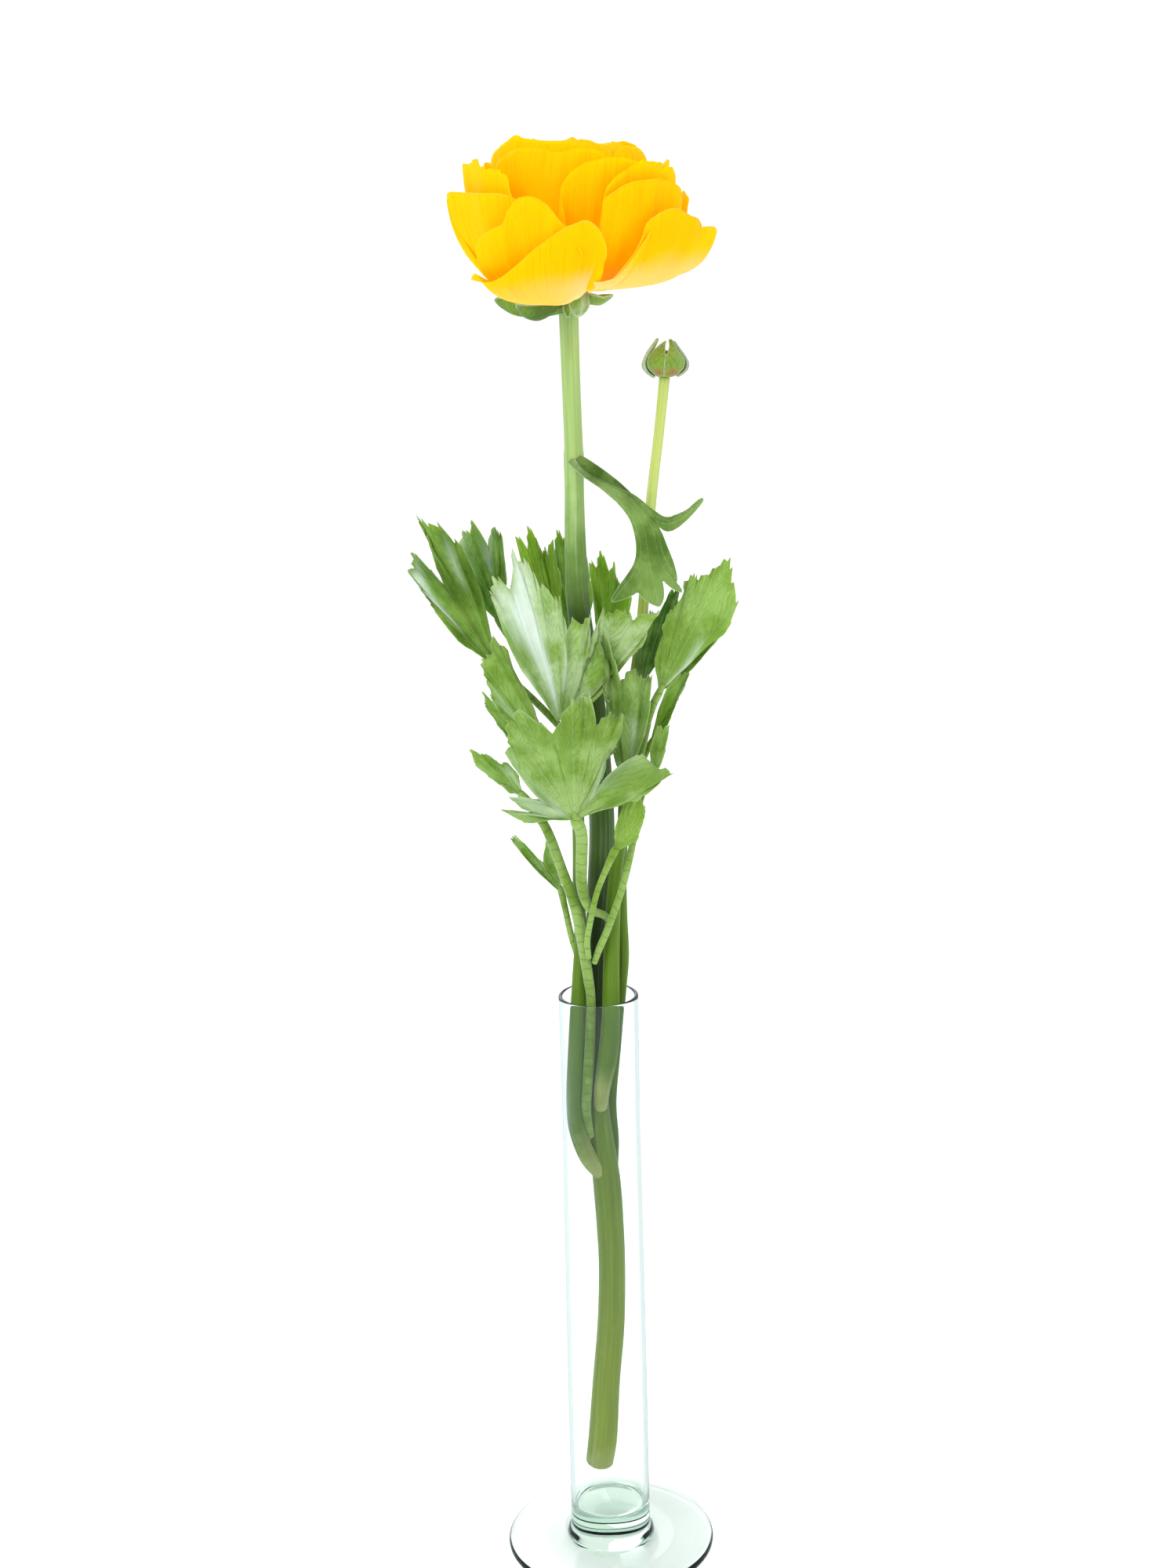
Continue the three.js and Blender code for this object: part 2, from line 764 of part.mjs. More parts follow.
// A leaf's blade from its outline: the same outline before and behind, joined by a wall all round.
function outlined(outline) {
  const contour = outline.map(([x, , z]) => new THREE.Vector2(x, z));
  const count = outline.length;
  const positions = [-1, 1].flatMap((side) => outline.flatMap(([x, y, z]) => [x, y + (side * BLADE) / 2, z]));
  const index = THREE.ShapeUtils.triangulateShape(contour, []).flatMap(([a, b, c]) => [
    a, b, c, count + a, count + c, count + b,
  ]);
  for (let a = 0; a < count; a++) {
    const b = (a + 1) % count;
    index.push(a, b, count + b, a, count + b, count + a);
  }
  return solidOf(
    new THREE.BufferGeometry()
      .setAttribute("position", new THREE.Float32BufferAttribute(positions, 3))
      .setIndex(index),
  );
}

// The stalk runs a little way into the blade as its thick midrib, so that both are one piece.
function leafSolid(leaf) {
  if (leaf.outline) return stalk(leaf.stalk, { sides: 6 }).add(outlined(leaf.outline));
  const surface = blade(leaf);
  if (!leaf.stalk.length) return surface;
  const middle = leaf.tips.reduce((sum, tip) => sum.add(vector(tip)), new THREE.Vector3());
  middle.divideScalar(leaf.tips.length);
  const end = vector(leaf.base).lerp(middle, MIDRIB_SHARE);
  const route = [...leaf.stalk, [end.x, end.y, end.z, MIDRIB_END]];
  return stalk(route, { sides: 6 }).add(surface);
}

// Sets a point of the bloom's own upright frame in its place on the stem.
function inBloom(point) {
  return point
    .applyAxisAngle(new THREE.Vector3(0, 1, 0), radians(BLOOM.tilt))
    .add(vector(BLOOM.base));
}

// A petal lies on an egg-shaped bowl about the bloom's axis: from the base it runs out, up and in again.
function petal({ azimuth, reach, half, end, spread, start, slant = 0, square, flare = 0, sag = 0 }) {
  return sheet(
    PETAL_COLUMNS,
    PETAL_ROWS.length - 1,
    (i, j) => {
      const u = (2 * i) / PETAL_COLUMNS - 1;
      const v = mix(start, 1, PETAL_ROWS[j]);
      const top = end + slant * u - 0.22 * (end + 90) * Math.pow(Math.abs(u), 3);
      const rise = radians(-90 + (top + 90) * v);
      const turn = radians(azimuth + spread * u * Math.pow(v, 0.25));
      const out = 1.5 + reach * Math.pow(Math.cos(rise), square) + flare * Math.pow(v, 5);
      const height = half * (1 + Math.sin(rise)) - sag * Math.sin(Math.PI * Math.pow(v, 0.7)) + 0.5;
      const point = new THREE.Vector3(out * Math.cos(turn), out * Math.sin(turn), height);
      if (j === 0) point.lerp(vector(CORE_MIDDLE), PETAL_SINK);
      return inBloom(point);
    },
    BLADE,
  );
}

// The core is a turned bowl that the petals stand out of.
function bloomSolid() {
  const profile = CORE.map(([r, h]) => new THREE.Vector2(r, h));
  const core = new THREE.LatheGeometry(profile, 14)
    .rotateX(Math.PI / 2)
    .rotateY(radians(BLOOM.tilt))
    .translate(...BLOOM.base);
  const petals = OUTER_PETALS.map((one) => petal({ ...one, start: OUTER_START }));
  const { count, ...ranges } = INNER_PETALS;
  for (let i = 0; i < count; i++) {
    const shape = { azimuth: FRONT_TURN + GOLDEN_ANGLE * i };
    for (const [key, [first, last]] of Object.entries(ranges)) shape[key] = mix(first, last, i / (count - 1));
    petals.push(petal(shape));
  }
  return petals.reduce((whole, one) => whole.add(one), solidOf(core));
}

// A narrow leaf-like scale: out from the root, over and down to its tip, cupped across.
function sepal({ azimuth, length, drop, width, arch }, root, lift) {
  const columns = 4;
  const rows = 3;
  const [x, y, z] = root;
  const turn = radians(azimuth);
  return sheet(
    columns,
    rows,
    (i, j) => {
      const u = (2 * i) / columns - 1;
      const v = j / rows;
      const out = 1 + length * v;
      const side = width * u * Math.sqrt(Math.max(0.04, Math.sin(Math.PI * (0.14 + 0.8 * v))));
      const height = lift * Math.sin(Math.PI * v) - drop * v * v - arch * u * u * Math.sqrt(v);
      return new THREE.Vector3(
        x + out * Math.cos(turn) - side * Math.sin(turn),
        y + out * Math.sin(turn) + side * Math.cos(turn),
        z + height,
      );
    },
    SEPAL_BLADE,
  );
}

function calyxSolid() {
  const profile = [
    [0, -2.4],
    [2.9, -2.4],
    [3.6, -0.8],
    [3.9, 0.1],
    [2.6, 0.6],
    [0, 0.6],
  ].map(([r, h]) => new THREE.Vector2(r, h));
  const root = [BLOOM.base[0] - 0.7, BLOOM.base[1], BLOOM.base[2] - 0.9];
  const receptacle = new THREE.LatheGeometry(profile, 12).rotateX(Math.PI / 2).translate(...root);
  const low = [root[0], root[1], root[2] - 1.2];
  return SEPALS.reduce((whole, one) => whole.add(sepal(one, low, 0.8)), solidOf(receptacle));
}

function budSolid() {
  const [x, y, z] = BUD.centre;
  const rings = 5;
  const profile = [];
  for (let i = 0; i <= rings; i++) {
    const rise = mix(-Math.PI / 2, Math.PI / 2, i / rings);
    profile.push(
      new THREE.Vector2((BUD.radius - 0.1) * Math.cos(rise), (BUD.height / 2) * Math.sin(rise)),
    );
  }
  profile[0].x = 0;
  profile[rings].x = 0;
  let whole = solidOf(new THREE.LatheGeometry(profile, 10).rotateX(Math.PI / 2).translate(x, y, z));
  for (let k = 0; k < BUD.sepals; k++) {
    const middle = radians(270 + (360 * k) / BUD.sepals);
    const columns = 2;
    const rows = 4;
    const scale = sheet(
      columns,
      rows,
      (i, j) => {
        const u = (2 * i) / columns - 1;
        const v = j / rows;
        const rise = radians(mix(-72, 62, v));
        const half = 34 * Math.pow(Math.sin(Math.PI * (0.16 + 0.76 * v)), 0.7);
        const turn = middle + radians(half * u);
        const out = BUD.radius * Math.cos(rise) + 1.2 * v * v;
        return new THREE.Vector3(
          x + out * Math.cos(turn),
          y + out * Math.sin(turn),
          z + (BUD.height / 2 + 0.9) * Math.sin(rise) + 0.6 * v,
        );
      },
      SEPAL_BLADE,
    );
    whole = whole.add(scale);
  }
  return whole;
}

// The vase is one turned profile: foot, joint, tube, fire-rounded rim, bore and domed floor.
function vaseGeometry() {
  const inner = (r) => r - VASE.wall;
  const points = [
    [0, 0],
    [VASE.footRadius - 1, 0],
    [VASE.footRadius, 1],
    [VASE.footRadius, VASE.footEdge - 1],
    [VASE.footRadius - 1, VASE.footEdge],
    [VASE.jointRadius + 3, VASE.footEdge + 0.4],
    [VASE.jointRadius, VASE.footEdge + 0.9],
    [VASE.jointRadius, VASE.jointHeight - 1.4],
    [VASE.lowRadius, VASE.jointHeight],
    [VASE.lowRadius, 60],
    [VASE.rimRadius - 0.2, 150],
    [VASE.rimRadius, VASE.height - 0.7],
    [VASE.rimRadius - 0.4, VASE.height],
    [inner(VASE.rimRadius) + 0.4, VASE.height],
    [inner(VASE.rimRadius), VASE.height - 0.7],
    [inner(VASE.rimRadius - 0.2), 150],
    [inner(VASE.lowRadius), 60],
    [inner(VASE.lowRadius), VASE.floor + 2],
    [inner(VASE.lowRadius) - 1.4, VASE.floor],
    [5, VASE.floor + 0.7 * VASE.floorDome],
    [0, VASE.floor + VASE.floorDome],
  ];
  const profile = points.map(([r, h]) => new THREE.Vector2(r, h));
  return new THREE.LatheGeometry(profile, VASE.sides).rotateX(Math.PI / 2);
}

// What each side piece leaves free round the stem, so that it ends on it with a small gap
const room = (route) => stalk(route, { sides: 10, extra: GAP });
const cut = (solid, ...rooms) => mainBody(rooms.reduce((rest, one) => rest.subtract(one), solid));

const stemRoom = room(STEM);
const leftRoom = room(LEFT_SHOOT);
const rightRoom = room(RIGHT_SHOOT);
const trailingRoom = room(TRAILING_STALK);
const rooms = [stemRoom, leftRoom, rightRoom, trailingRoom];

const group = new THREE.Group();
function add(name, geometry, colour, finish = {}) {
  const material = new THREE.MeshStandardMaterial({ color: COLOUR[colour], roughness: 0.55, ...finish });
  const mesh = new THREE.Mesh(geometry, material);
  mesh.name = name;
  group.add(mesh);
}

add("vase", vaseGeometry(), "glass", { roughness: 0.05, transparent: true, opacity: 0.35 });
add("flower_stem", geometryOf(stalk(STEM, { sides: 10 })), "stem");
add("left_shoot", geometryOf(cut(stalk(LEFT_SHOOT), stemRoom)), "stem");
add("right_shoot", geometryOf(cut(stalk(RIGHT_SHOOT), stemRoom)), "stem");
add("bud_stalk", geometryOf(cut(stalk(BUD_STALK), stemRoom)), "stalk");
add("bud", geometryOf(budSolid()), "sepal");
add("calyx", geometryOf(calyxSolid()), "sepal");
add("bloom", geometryOf(mainBody(bloomSolid())), "petal", { roughness: 0.6 });
for (const [name, leaf] of Object.entries(LEAVES)) {
  const others = leaf.stalk === TRAILING_STALK ? rooms.slice(0, 3) : rooms;
  add(name, geometryOf(cut(leafSolid(leaf), ...others)), leaf.colour);
}

export default group;
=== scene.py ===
import math

import bpy
import numpy as np
from mathutils import Matrix, Vector


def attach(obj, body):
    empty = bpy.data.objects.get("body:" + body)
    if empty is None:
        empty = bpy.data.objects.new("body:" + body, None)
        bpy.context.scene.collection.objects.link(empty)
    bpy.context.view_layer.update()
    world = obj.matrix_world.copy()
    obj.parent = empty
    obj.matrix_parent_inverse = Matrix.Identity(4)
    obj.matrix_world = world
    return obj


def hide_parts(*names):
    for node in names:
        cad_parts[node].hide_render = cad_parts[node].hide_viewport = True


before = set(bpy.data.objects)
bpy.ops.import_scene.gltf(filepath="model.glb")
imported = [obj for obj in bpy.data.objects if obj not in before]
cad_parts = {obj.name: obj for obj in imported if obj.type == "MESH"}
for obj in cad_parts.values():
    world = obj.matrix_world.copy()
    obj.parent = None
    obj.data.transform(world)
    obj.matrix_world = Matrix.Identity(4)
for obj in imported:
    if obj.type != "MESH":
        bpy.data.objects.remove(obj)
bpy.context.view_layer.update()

bl_info = {
    "name": "Ranunculus in a tube vase",
    "version": (1, 0, 0),
    "blender": (4, 5, 0),
    "location": "View3D > Sidebar > Ranunculus",
    "description": "Builds a cut ranunculus with its bud and leaves in a slim glass tube vase",
    "category": "Add Mesh",
}

MM = 0.001

# Sizes, in millimetres unless a comment says otherwise. +Z is up and the flower faces -Y.
VASE = {
    "height": 189.5,
    "rim_radius": 12.5,
    "neck_radius": 12.3,
    "neck_height": 150,
    "low_radius": 12.9,
    "low_height": 60,
    "wall": 1.3,
    "floor": 14.0,
    "floor_corner": 1.5,
    "floor_dome": 1.2,  # how far the floor inside rises in its middle
    "underside": [0, 10, 20, 30, 31.6],  # radii of its rings
    "foot_radius": 33.7,
    "foot_edge": 2.8,
    # radius, and rise above the foot's edge
    "foot_top": [(31.6, 0), (30, 0.02), (26, 0.06), (21, 0.15), (18, 0.3), (16.2, 0.55), (14.7, 0.9)],
    # radius and height where the tube stands on the foot
    "joint": [(14, 4.2), (13.8, 4.8), (13.5, 5.5), (13, 6.2), (12.9, 7.2), (12.9, 9)],
}
GLASS_DENSITY = 12.0
BLOOM_BASE = np.array([-3.0, 0.0, 400.0])
BLOOM_LEAN = 0.122  # how far the bloom's axis moves to +X for each millimetre of height
MARGIN_START = 0.05  # where a leaf's blade leaves its stalk, as a share of its length
MARGIN_POWER = 1.35  # how a blade's margin falls from its tips to the notches
FIRST_NOTCH = 0.7  # the notch before a leaf's first tip, as a share of the blade
TOOTH = 0.045  # how deep the finest teeth cut a blade's margin, as a share of its length
FINE_NOTCH = 0.87  # a notch past this share of the blade is a fine tooth's
FOLD = 0.065  # how far a lobe is folded up beside its midrib, as a share of the step from rib to rib
FOLD_LIMIT = 2.0  # and no further than this
SEPAL_THICKNESS = 0.45
BUD_SEPAL_THICKNESS = 0.4
BUD_BLUSH = 0.8  # how red the bud's sepals are at the middle of their roots
PETAL_START = 2.2  # how far from the bloom's axis a petal starts
PETAL_NICKS = ((1.1, 0.5), (0.45, 0.35), (0.2, 0.25))  # how far apart in points of the rim, and how deep
BUMP_DEPTH = 0.0003  # in metres
STEM_SPAN = 400.0  # the length that the colours of a stem are spread over

# Fine hairs: how many on a shape, their length, their radius at the root, and the seeds of their places
# and of their bends
HAIRS = {
    "stem": (1400, 0.8, 0.022, 11, 12),
    "calyx": (260, 1.0, 0.02, 20, 40),
    "bud": (300, 0.7, 0.02, 60, 70),
}

# The camera looks along +Y, tipped down by its pitch, in degrees as its roll is. Lens and sensor are in
# millimetres. The lamps are in metres and watts: place, point aimed at, size and power.
CAMERA = {"place": (-1.62, -645.6, 408.3), "pitch": 13.21, "roll": 1.396, "lens": 50, "sensor": 36}
LAMPS = {
    "key light": ((-0.6, -0.9, 1.0), (0, 0, 0.3), 0.6, 6),
    "side light": ((1.1, -0.4, 0.7), (0, 0, 0.3), 0.8, 2.5),
    "back light": ((-0.4, 1.0, 0.9), (0, 0, 0.35), 0.9, 5),
}
FLOOR_GAP = 0.0002  # how far the floor lies under the foot, in metres

# Routes of the stems: x, y, z, radius
STEM = [
    (-3.3, 5.7, 25.4, 4.6), (-1.9, 5.4, 35, 4.8), (-0.3, 5, 55, 4.5), (1.6, 4, 75, 4.45),
    (2.4, 3, 95, 4.3), (2.1, 3, 111, 4.4), (1.2, 2, 128, 4.4), (-0.9, 3, 152, 3.5),
    (-0.8, 5, 188, 3.5), (1, 6, 218, 3.8), (2.4, 5, 245, 3.9), (0.6, 3.6, 280, 3.7),
    (-3, 2, 309, 3.5), (-3.6, 0, 328, 3.2), (-3.5, -1, 346, 2.85), (-3.4, -1, 355.5, 3.0),
    (-3.4, -0.8, 360, 2.75), (-3.7, 0, 378, 2.7), (-3.9, 0, 397.2, 2.85),
]
LEFT_SHOOT = [
    (-0.6, 0.5, 130, 2.6), (-4.4, -1.2, 136, 2.8), (-7.4, -2, 145, 2.6), (-8.2, -1.5, 154, 2.6),
    (-7.4, -2, 166, 2.75), (-6.4, -2, 184, 2.5), (-5.8, -2, 195, 2.2), (-5, -2, 208, 2.0),
    (-5.2, -2.5, 223, 1.9), (-4.8, -4.5, 242, 1.9), (-5.4, -6.5, 259, 1.8), (-8.2, -9, 273, 1.6),
    (-9, -10, 277, 1.2),
]
RIGHT_SHOOT = [
    (-0.2, 0.5, 152, 2.1), (0.6, -2.7, 160, 2.5), (2.6, -4.5, 172, 2.9), (3.7, -4, 184, 2.7),
    (4, -3.4, 192, 2.6), (4.6, -2.5, 208, 2.4), (5.8, -2, 225, 2.1), (7.3, -2, 236, 1.9),
    (10.1, -2, 250, 1.7), (13.2, -2, 262, 1.6), (16.5, -3.6, 276, 1.4),
]
BUD_STALK = [
    (2.6, 4.2, 124, 1.9), (4, 7.8, 137, 1.7), (3.6, 8.5, 151, 1.6), (5.5, 7.4, 170, 1.6),
    (7.2, 5.6, 188, 1.6), (8.2, 6.4, 200, 1.8), (8, 8, 214, 1.7), (8.4, 9, 230, 1.6),
    (10.4, 9, 267, 1.6), (15.7, 8.5, 303, 1.6), (19.2, 8, 340, 1.55), (21.8, 8, 360, 1.5),
    (23.9, 8, 377.4, 1.6),
]
TRAILING_STALK = [
    (-3.6, -1, 143, 1.3), (-4.6, -2.6, 152, 1.5), (-4, -3.6, 161, 1.6), (-3.1, -4.3, 172, 1.6),
    (-2.3, -4.7, 188, 1.4), (-3, -5.6, 197, 1.6), (-5.1, -6.5, 213, 1.7), (-6.9, -6.8, 222, 1.7),
    (-9.9, -6.7, 231, 1.6), (-14.1, -6.2, 243.6, 1.5), (-18.7, -5.6, 251.5, 1.4), (-22, -5, 255.5, 1.2),
]

# Leaves. tone: from dark to light green, and set low as painted shade on leaves that lie behind others.
# warm: how yellow it is, partly as painted light that shines through it. silver: how hoary, partly as a
# painted highlight. wave: how far its margin waves. front: the face that is turned to -Y. bow: how far the
# blade arches. The painted highlight bands on it: each with the rib that it meets at the margin, how many
# ribs further on it is at the base, its half width in ribs, the shares of the blade between which it lies
# and its strength. stalk: x, y, z, radius up to the blade. base: where the blade starts. before and after:
# the ends of its outer margins. tips: the points of the lobes and teeth in order round the fan, x, y, z and
# the notch between this tip and the next one as a share of the blade. What a leaf leaves out is as in
# PLAIN_LEAF.
PLAIN_LEAF = dict(silver=0.1, bow=(0, 0, 0), sheen=[], stalk=[])
LEAVES = {
    "leaf_big_front": dict(
        tone=0.74, warm=0.25, silver=0.4, wave=1.0, front="under", bow=(0, -2, 0),
        sheen=[(2.9, 0.5, 0.95, 0.12, 0.97, 1.0), (2.2, 0, 1.0, 0.6, 0.97, 0.5),
               (6.8, 0, 0.5, 0.4, 0.8, 0.3)],
        base=(-9, -10, 276.5), before=(-24, -12, 296), after=(8, -8.5, 289),
        tips=[(-29.5, -14, 318, 0.9), (-28, -15, 324, 0.84), (-22, -19, 332, 0.93), (-18, -20, 329, 0.93),
              (-12, -18, 320.4, 0.93), (-8, -16, 317.3, 0.76), (-5.5, -13, 310.5, 0.95),
              (1.2, -11, 311.3, 0.58), (4.3, -9, 313.1, 0.93), (10, -9, 312.2, 0.9), (20.7, -11, 312, 0.93),
              (19, -10.5, 308.5, 0.86), (13, -9, 299, 0.7)]),
    "leaf_low_front": dict(
        tone=0.58, warm=0.35, silver=0.15, wave=1.3, front="under", bow=(0, -2.5, 0),
        sheen=[(2.2, 0, 0.8, 0.2, 1.0, 0.4), (10.6, 0, 0.7, 0.5, 1.0, 0.25)],
        stalk=[(5, -2.5, 213.5, 1.2), (2.2, -5, 216.6, 1.2), (-2, -8, 219.8, 1.4), (-4.2, -10.5, 228, 1.7),
               (-3.8, -13.5, 244, 1.8), (-5.4, -15, 249, 1.8)],
        base=(-6, -15.5, 249.5), before=(-20, -17, 249), after=(15, -14, 257),
        tips=[(-28.9, -18, 253.5, 0.6), (-25.4, -18, 258.2, 0.5), (-26.3, -19, 271, 0.9),
              (-25.4, -20, 281.5, 0.9), (-21.6, -20, 285.4, 0.76), (-5.8, -19, 287.6, 0.95),
              (-0.7, -19, 289.1, 0.84), (5.9, -18.5, 283.3, 0.93), (9.3, -19, 282.8, 0.75),
              (6.5, -17, 275.5, 0.5), (13.8, -14, 269.7, 0.93), (24.7, -14, 262.8, 0.7)]),
    "leaf_middle_right": dict(
        tone=0.36, warm=0.3, wave=1.2, front="under", bow=(-0.8, -1.5, 0),
        sheen=[(5.5, 0, 0.4, 0.1, 0.6, 0.3)],
        stalk=[(9.4, -2.4, 247, 0.9), (9.8, -4.8, 252, 0.9), (10, -6, 256, 0.9)], base=(10, -6.2, 256),
        before=(4, -8, 272), after=(20, -9, 276),
        tips=[(4.8, -12, 284.4, 0.93), (4.2, -13, 290.5, 0.93), (2.8, -14, 303, 0.95), (4.4, -14, 307, 0.8),
              (13.4, -12.5, 295.4, 0.9), (18, -10.5, 292.5, 0.7)]),
    "leaf_right": dict(
        tone=0.6, warm=0.4, wave=0.7, front="under", bow=(0, -1.5, 0), sheen=[(7.2, 0, 0.5, 0.0, 0.5, 0.6)],
        stalk=[(16.6, -3.7, 276.35, 1.3), (18.6, -5, 282, 1.2), (20.6, -5.5, 286, 1.1)],
        base=(20.4, -5.5, 285.5), before=(16.5, -5.5, 296), after=(37, -8, 303),
        tips=[(21, -6, 303, 0.88), (23.5, -7, 310, 0.93), (28.5, -8, 317.5, 0.95), (31, -9, 322.2, 0.95),
              (35, -9.5, 322.3, 0.95), (41.8, -11, 326.8, 0.93), (44.2, -10.5, 313.7, 0.88)]),
    "leaf_right_edge": dict(
        tone=0.5, warm=0.8, wave=0.5, front="upper", bow=(0, 0, -2),
        stalk=[(15.8, -2, 271, 0.9), (17.6, 1.6, 277, 0.9), (20.6, 4, 284, 0.9)], base=(20.6, 4, 284),
        before=(24, 7, 297), after=(33, 3.4, 291),
        tips=[(37.2, 7, 303.6, 0.9), (40.7, 6, 307, 0.93), (42.9, 5, 304.8, 0.9), (39, 4, 300, 0.7)]),
    "leaf_right_small": dict(
        tone=0.45, warm=0.9, wave=0.4, front="upper",
        stalk=[(13.4, -2, 261, 0.9), (15.8, -0.6, 265, 0.9), (17.6, -0.2, 269, 0.9)],
        base=(17.6, -0.2, 269), before=(18.6, 0, 282), after=(24, -1, 272),
        tips=[(25.5, 0.8, 291, 0.9), (30, 1, 291, 0.93), (28.5, 0.6, 286.5, 0.93), (26, 0, 281.5, 0.8)]),
    "leaf_right_low": dict(
        tone=0.45, warm=0.7, wave=0.3, front="upper",
        stalk=[(-1, -7.2, 202, 0.9), (0.8, -7.6, 207, 1.1), (3.6, -7.6, 213.4, 1.1), (8.4, -7, 226.7, 1.1),
               (11.8, -6.6, 240.7, 1.1), (14.1, -6.6, 252.7, 1.0), (17.3, -6.8, 261, 1.0)],
        base=(17.3, -6.8, 260.6), before=(15.5, -7, 268), after=(21, -6, 262),
        tips=[(19.7, -7.5, 276.5, 0.85), (23.3, -8, 276.4, 0.8), (22, -7, 268, 0.7)]),
    # Its low tone is painted shade: it lies behind the other leaves.
    "leaf_right_behind": dict(
        tone=0.12, warm=0.2, silver=0.05, wave=0.5, front="upper", bow=(0, 1, 0),
        stalk=[(3.4, 4.4, 264, 0.9), (9, 5.4, 274, 0.9), (15, 5.6, 285, 0.9)], base=(15, 5.6, 285),
        before=(12, 6, 298), after=(27, 7, 298),
        tips=[(15.5, 6, 306, 0.85), (18.6, 7, 309, 0.8), (25, 8, 315, 0.93), (28, 8, 316, 0.85),
              (28, 8, 308, 0.8)]),
    "leaf_spoon": dict(
        tone=0.5, warm=0.8, silver=0.05, wave=0.3, front="under", bow=(0, -1, 0),
        stalk=[(-2.6, -8.6, 204, 0.8), (-3, -9.2, 209, 0.9), (-2.3, -9.8, 214, 0.9), (0.2, -10.6, 225, 0.9),
               (3.4, -11, 233, 1.0), (6, -11, 238.5, 1.2)],
        base=(6, -11, 238), before=(4.5, -11.5, 246), after=(12, -11, 239),
        tips=[(8.4, -12, 252, 0.93), (11.8, -12.5, 257, 0.93), (13.9, -12.5, 257.5, 0.93),
              (15.6, -12, 252, 0.93), (14.6, -11.5, 246, 0.9)]),
    "leaf_left_low": dict(
        tone=0.45, warm=0.5, wave=0.5, front="under", bow=(0, -1, 0), sheen=[(5.0, 0, 0.6, 0.3, 0.9, 0.3)],
        stalk=TRAILING_STALK, base=(-21.5, -5, 255), before=(-25, -4.6, 254), after=(-20.5, -5.4, 261),
        tips=[(-28.6, -4, 258.9, 0.8), (-35.1, -3, 263.6, 0.9), (-37.3, -3, 269.3, 0.9),
              (-31.9, -4, 268, 0.85), (-25.8, -5, 265.4, 0.8)]),
    "leaf_left_small": dict(
        tone=0.4, warm=0.5, wave=0.4, front="under",
        stalk=[(-5.4, -4.6, 247, 0.9), (-8.6, -1.4, 251.5, 0.9), (-12.5, 1.6, 258, 0.9)],
        base=(-12.5, 1.6, 258), before=(-19, 3.6, 262), after=(-19, 3, 276),
        tips=[(-27, 5, 272, 0.8), (-32.4, 6, 280, 0.93), (-33.2, 6, 285.3, 0.85), (-27, 5, 280, 0.7)]),
    "leaf_left_narrow": dict(
        tone=0.5, warm=0.4, silver=0.25, wave=0.3, front="upper",
        stalk=[(-5.4, -2, 200, 0.9), (-7.8, 0.2, 208, 1.0), (-9.6, 1.6, 217, 1.0), (-10.8, 2, 223, 1.1)],
        base=(-10.5, 2.1, 221.6), before=(-16, 2.6, 226), after=(-9.6, 1, 231),
        tips=[(-25.7, 4, 238.3, 0.95), (-24.6, 4, 240.6, 0.55), (-14.8, 1.4, 239.8, 0.8),
              (-12.6, 0.6, 236, 0.7)]),
    "leaf_left_folded": dict(
        tone=0.5, warm=0.6, wave=0.7, front="under", bow=(0, -1.5, 0), sheen=[(3.0, 0, 0.5, 0.4, 0.9, 0.3)],
        stalk=[(-5.4, -6.4, 257, 0.9), (-8.6, -3.4, 261, 0.9), (-11, -2.6, 265, 0.9)],
        base=(-11, -2.6, 264.5), before=(-20, -2, 269), after=(-16, -1.4, 281),
        tips=[(-26, -1.6, 277.6, 0.93), (-30.1, -1.2, 284.2, 0.94), (-31.8, -1, 289.5, 0.94),
              (-33.2, -0.6, 296.3, 0.9), (-29.4, 0, 304.3, 0.88), (-24.8, 0, 295, 0.8)]),
    "leaf_far_left": dict(
        tone=0.36, warm=0.4, silver=0.02, wave=0.9, front="upper", bow=(0, -1, 0),
        sheen=[(3.3, -1.6, 0.55, 0.5, 0.95, 0.95), (7.2, 0, 0.3, 0.6, 0.9, 0.3)],
        stalk=[(-0.5, 3, 262, 1.2), (-8, 4, 272, 1.2), (-19, 4.4, 284, 1.1), (-28, 4.4, 292.5, 1.1)],
        base=(-27.6, 4.4, 292), before=(-38, 5, 297), after=(-30, 7, 313),
        tips=[(-46.9, 6, 310.4, 0.93), (-51.1, 7, 316.9, 0.93), (-54.6, 8, 322.7, 0.93),
              (-53.4, 8, 329, 0.7), (-48.4, 8, 331.5, 0.93), (-51.4, 9, 339.1, 0.93), (-45.1, 9, 337, 0.93),
              (-38, 9, 329.6, 0.8)]),
    "leaf_far_left_behind": dict(
        tone=0.16, warm=0.3, silver=0.05, wave=0.8, front="under", bow=(0, 2, 2),
        sheen=[(1.1, 0, 0.6, 0.62, 1.1, 1.0), (3.6, 0, 0.3, 0.6, 1.0, 0.3)],
        stalk=[(-1, 5, 276, 1.0), (-10, 10, 284, 1.0), (-20, 12.5, 294, 1.0), (-27.5, 13, 305, 1.0)],
        base=(-27.3, 13, 304), before=(-38, 14, 312), after=(-22, 15, 314),
        tips=[(-48.9, 15, 334.6, 0.7), (-38, 16, 333.5, 0.9), (-35, 16, 336.5, 0.75),
              (-28.4, 17, 334.6, 0.9), (-25.6, 17, 331.5, 0.7)]),
    "leaf_back_left": dict(
        tone=0.45, warm=0.95, silver=0.0, wave=0.7, front="upper",
        stalk=[(-0.8, 5.4, 268, 0.9), (-5, 13, 280, 0.9), (-9.5, 17, 296, 0.9)], base=(-9.3, 17, 295),
        before=(-17, 19, 305), after=(-7, 20, 309),
        tips=[(-22.6, 22, 331.4, 0.8), (-18.4, 23, 334, 0.9), (-15.6, 23, 329.6, 0.9),
              (-13, 23, 327.4, 0.85), (-10.6, 22, 330, 0.8)]),
    "leaf_back_middle": dict(
        tone=0.3, warm=0.6, wave=0.6, front="under",
        stalk=[(0.5, 6, 258, 0.9), (-1, 15, 272, 0.9), (-4, 22, 290, 0.9)], base=(-3.9, 22, 289),
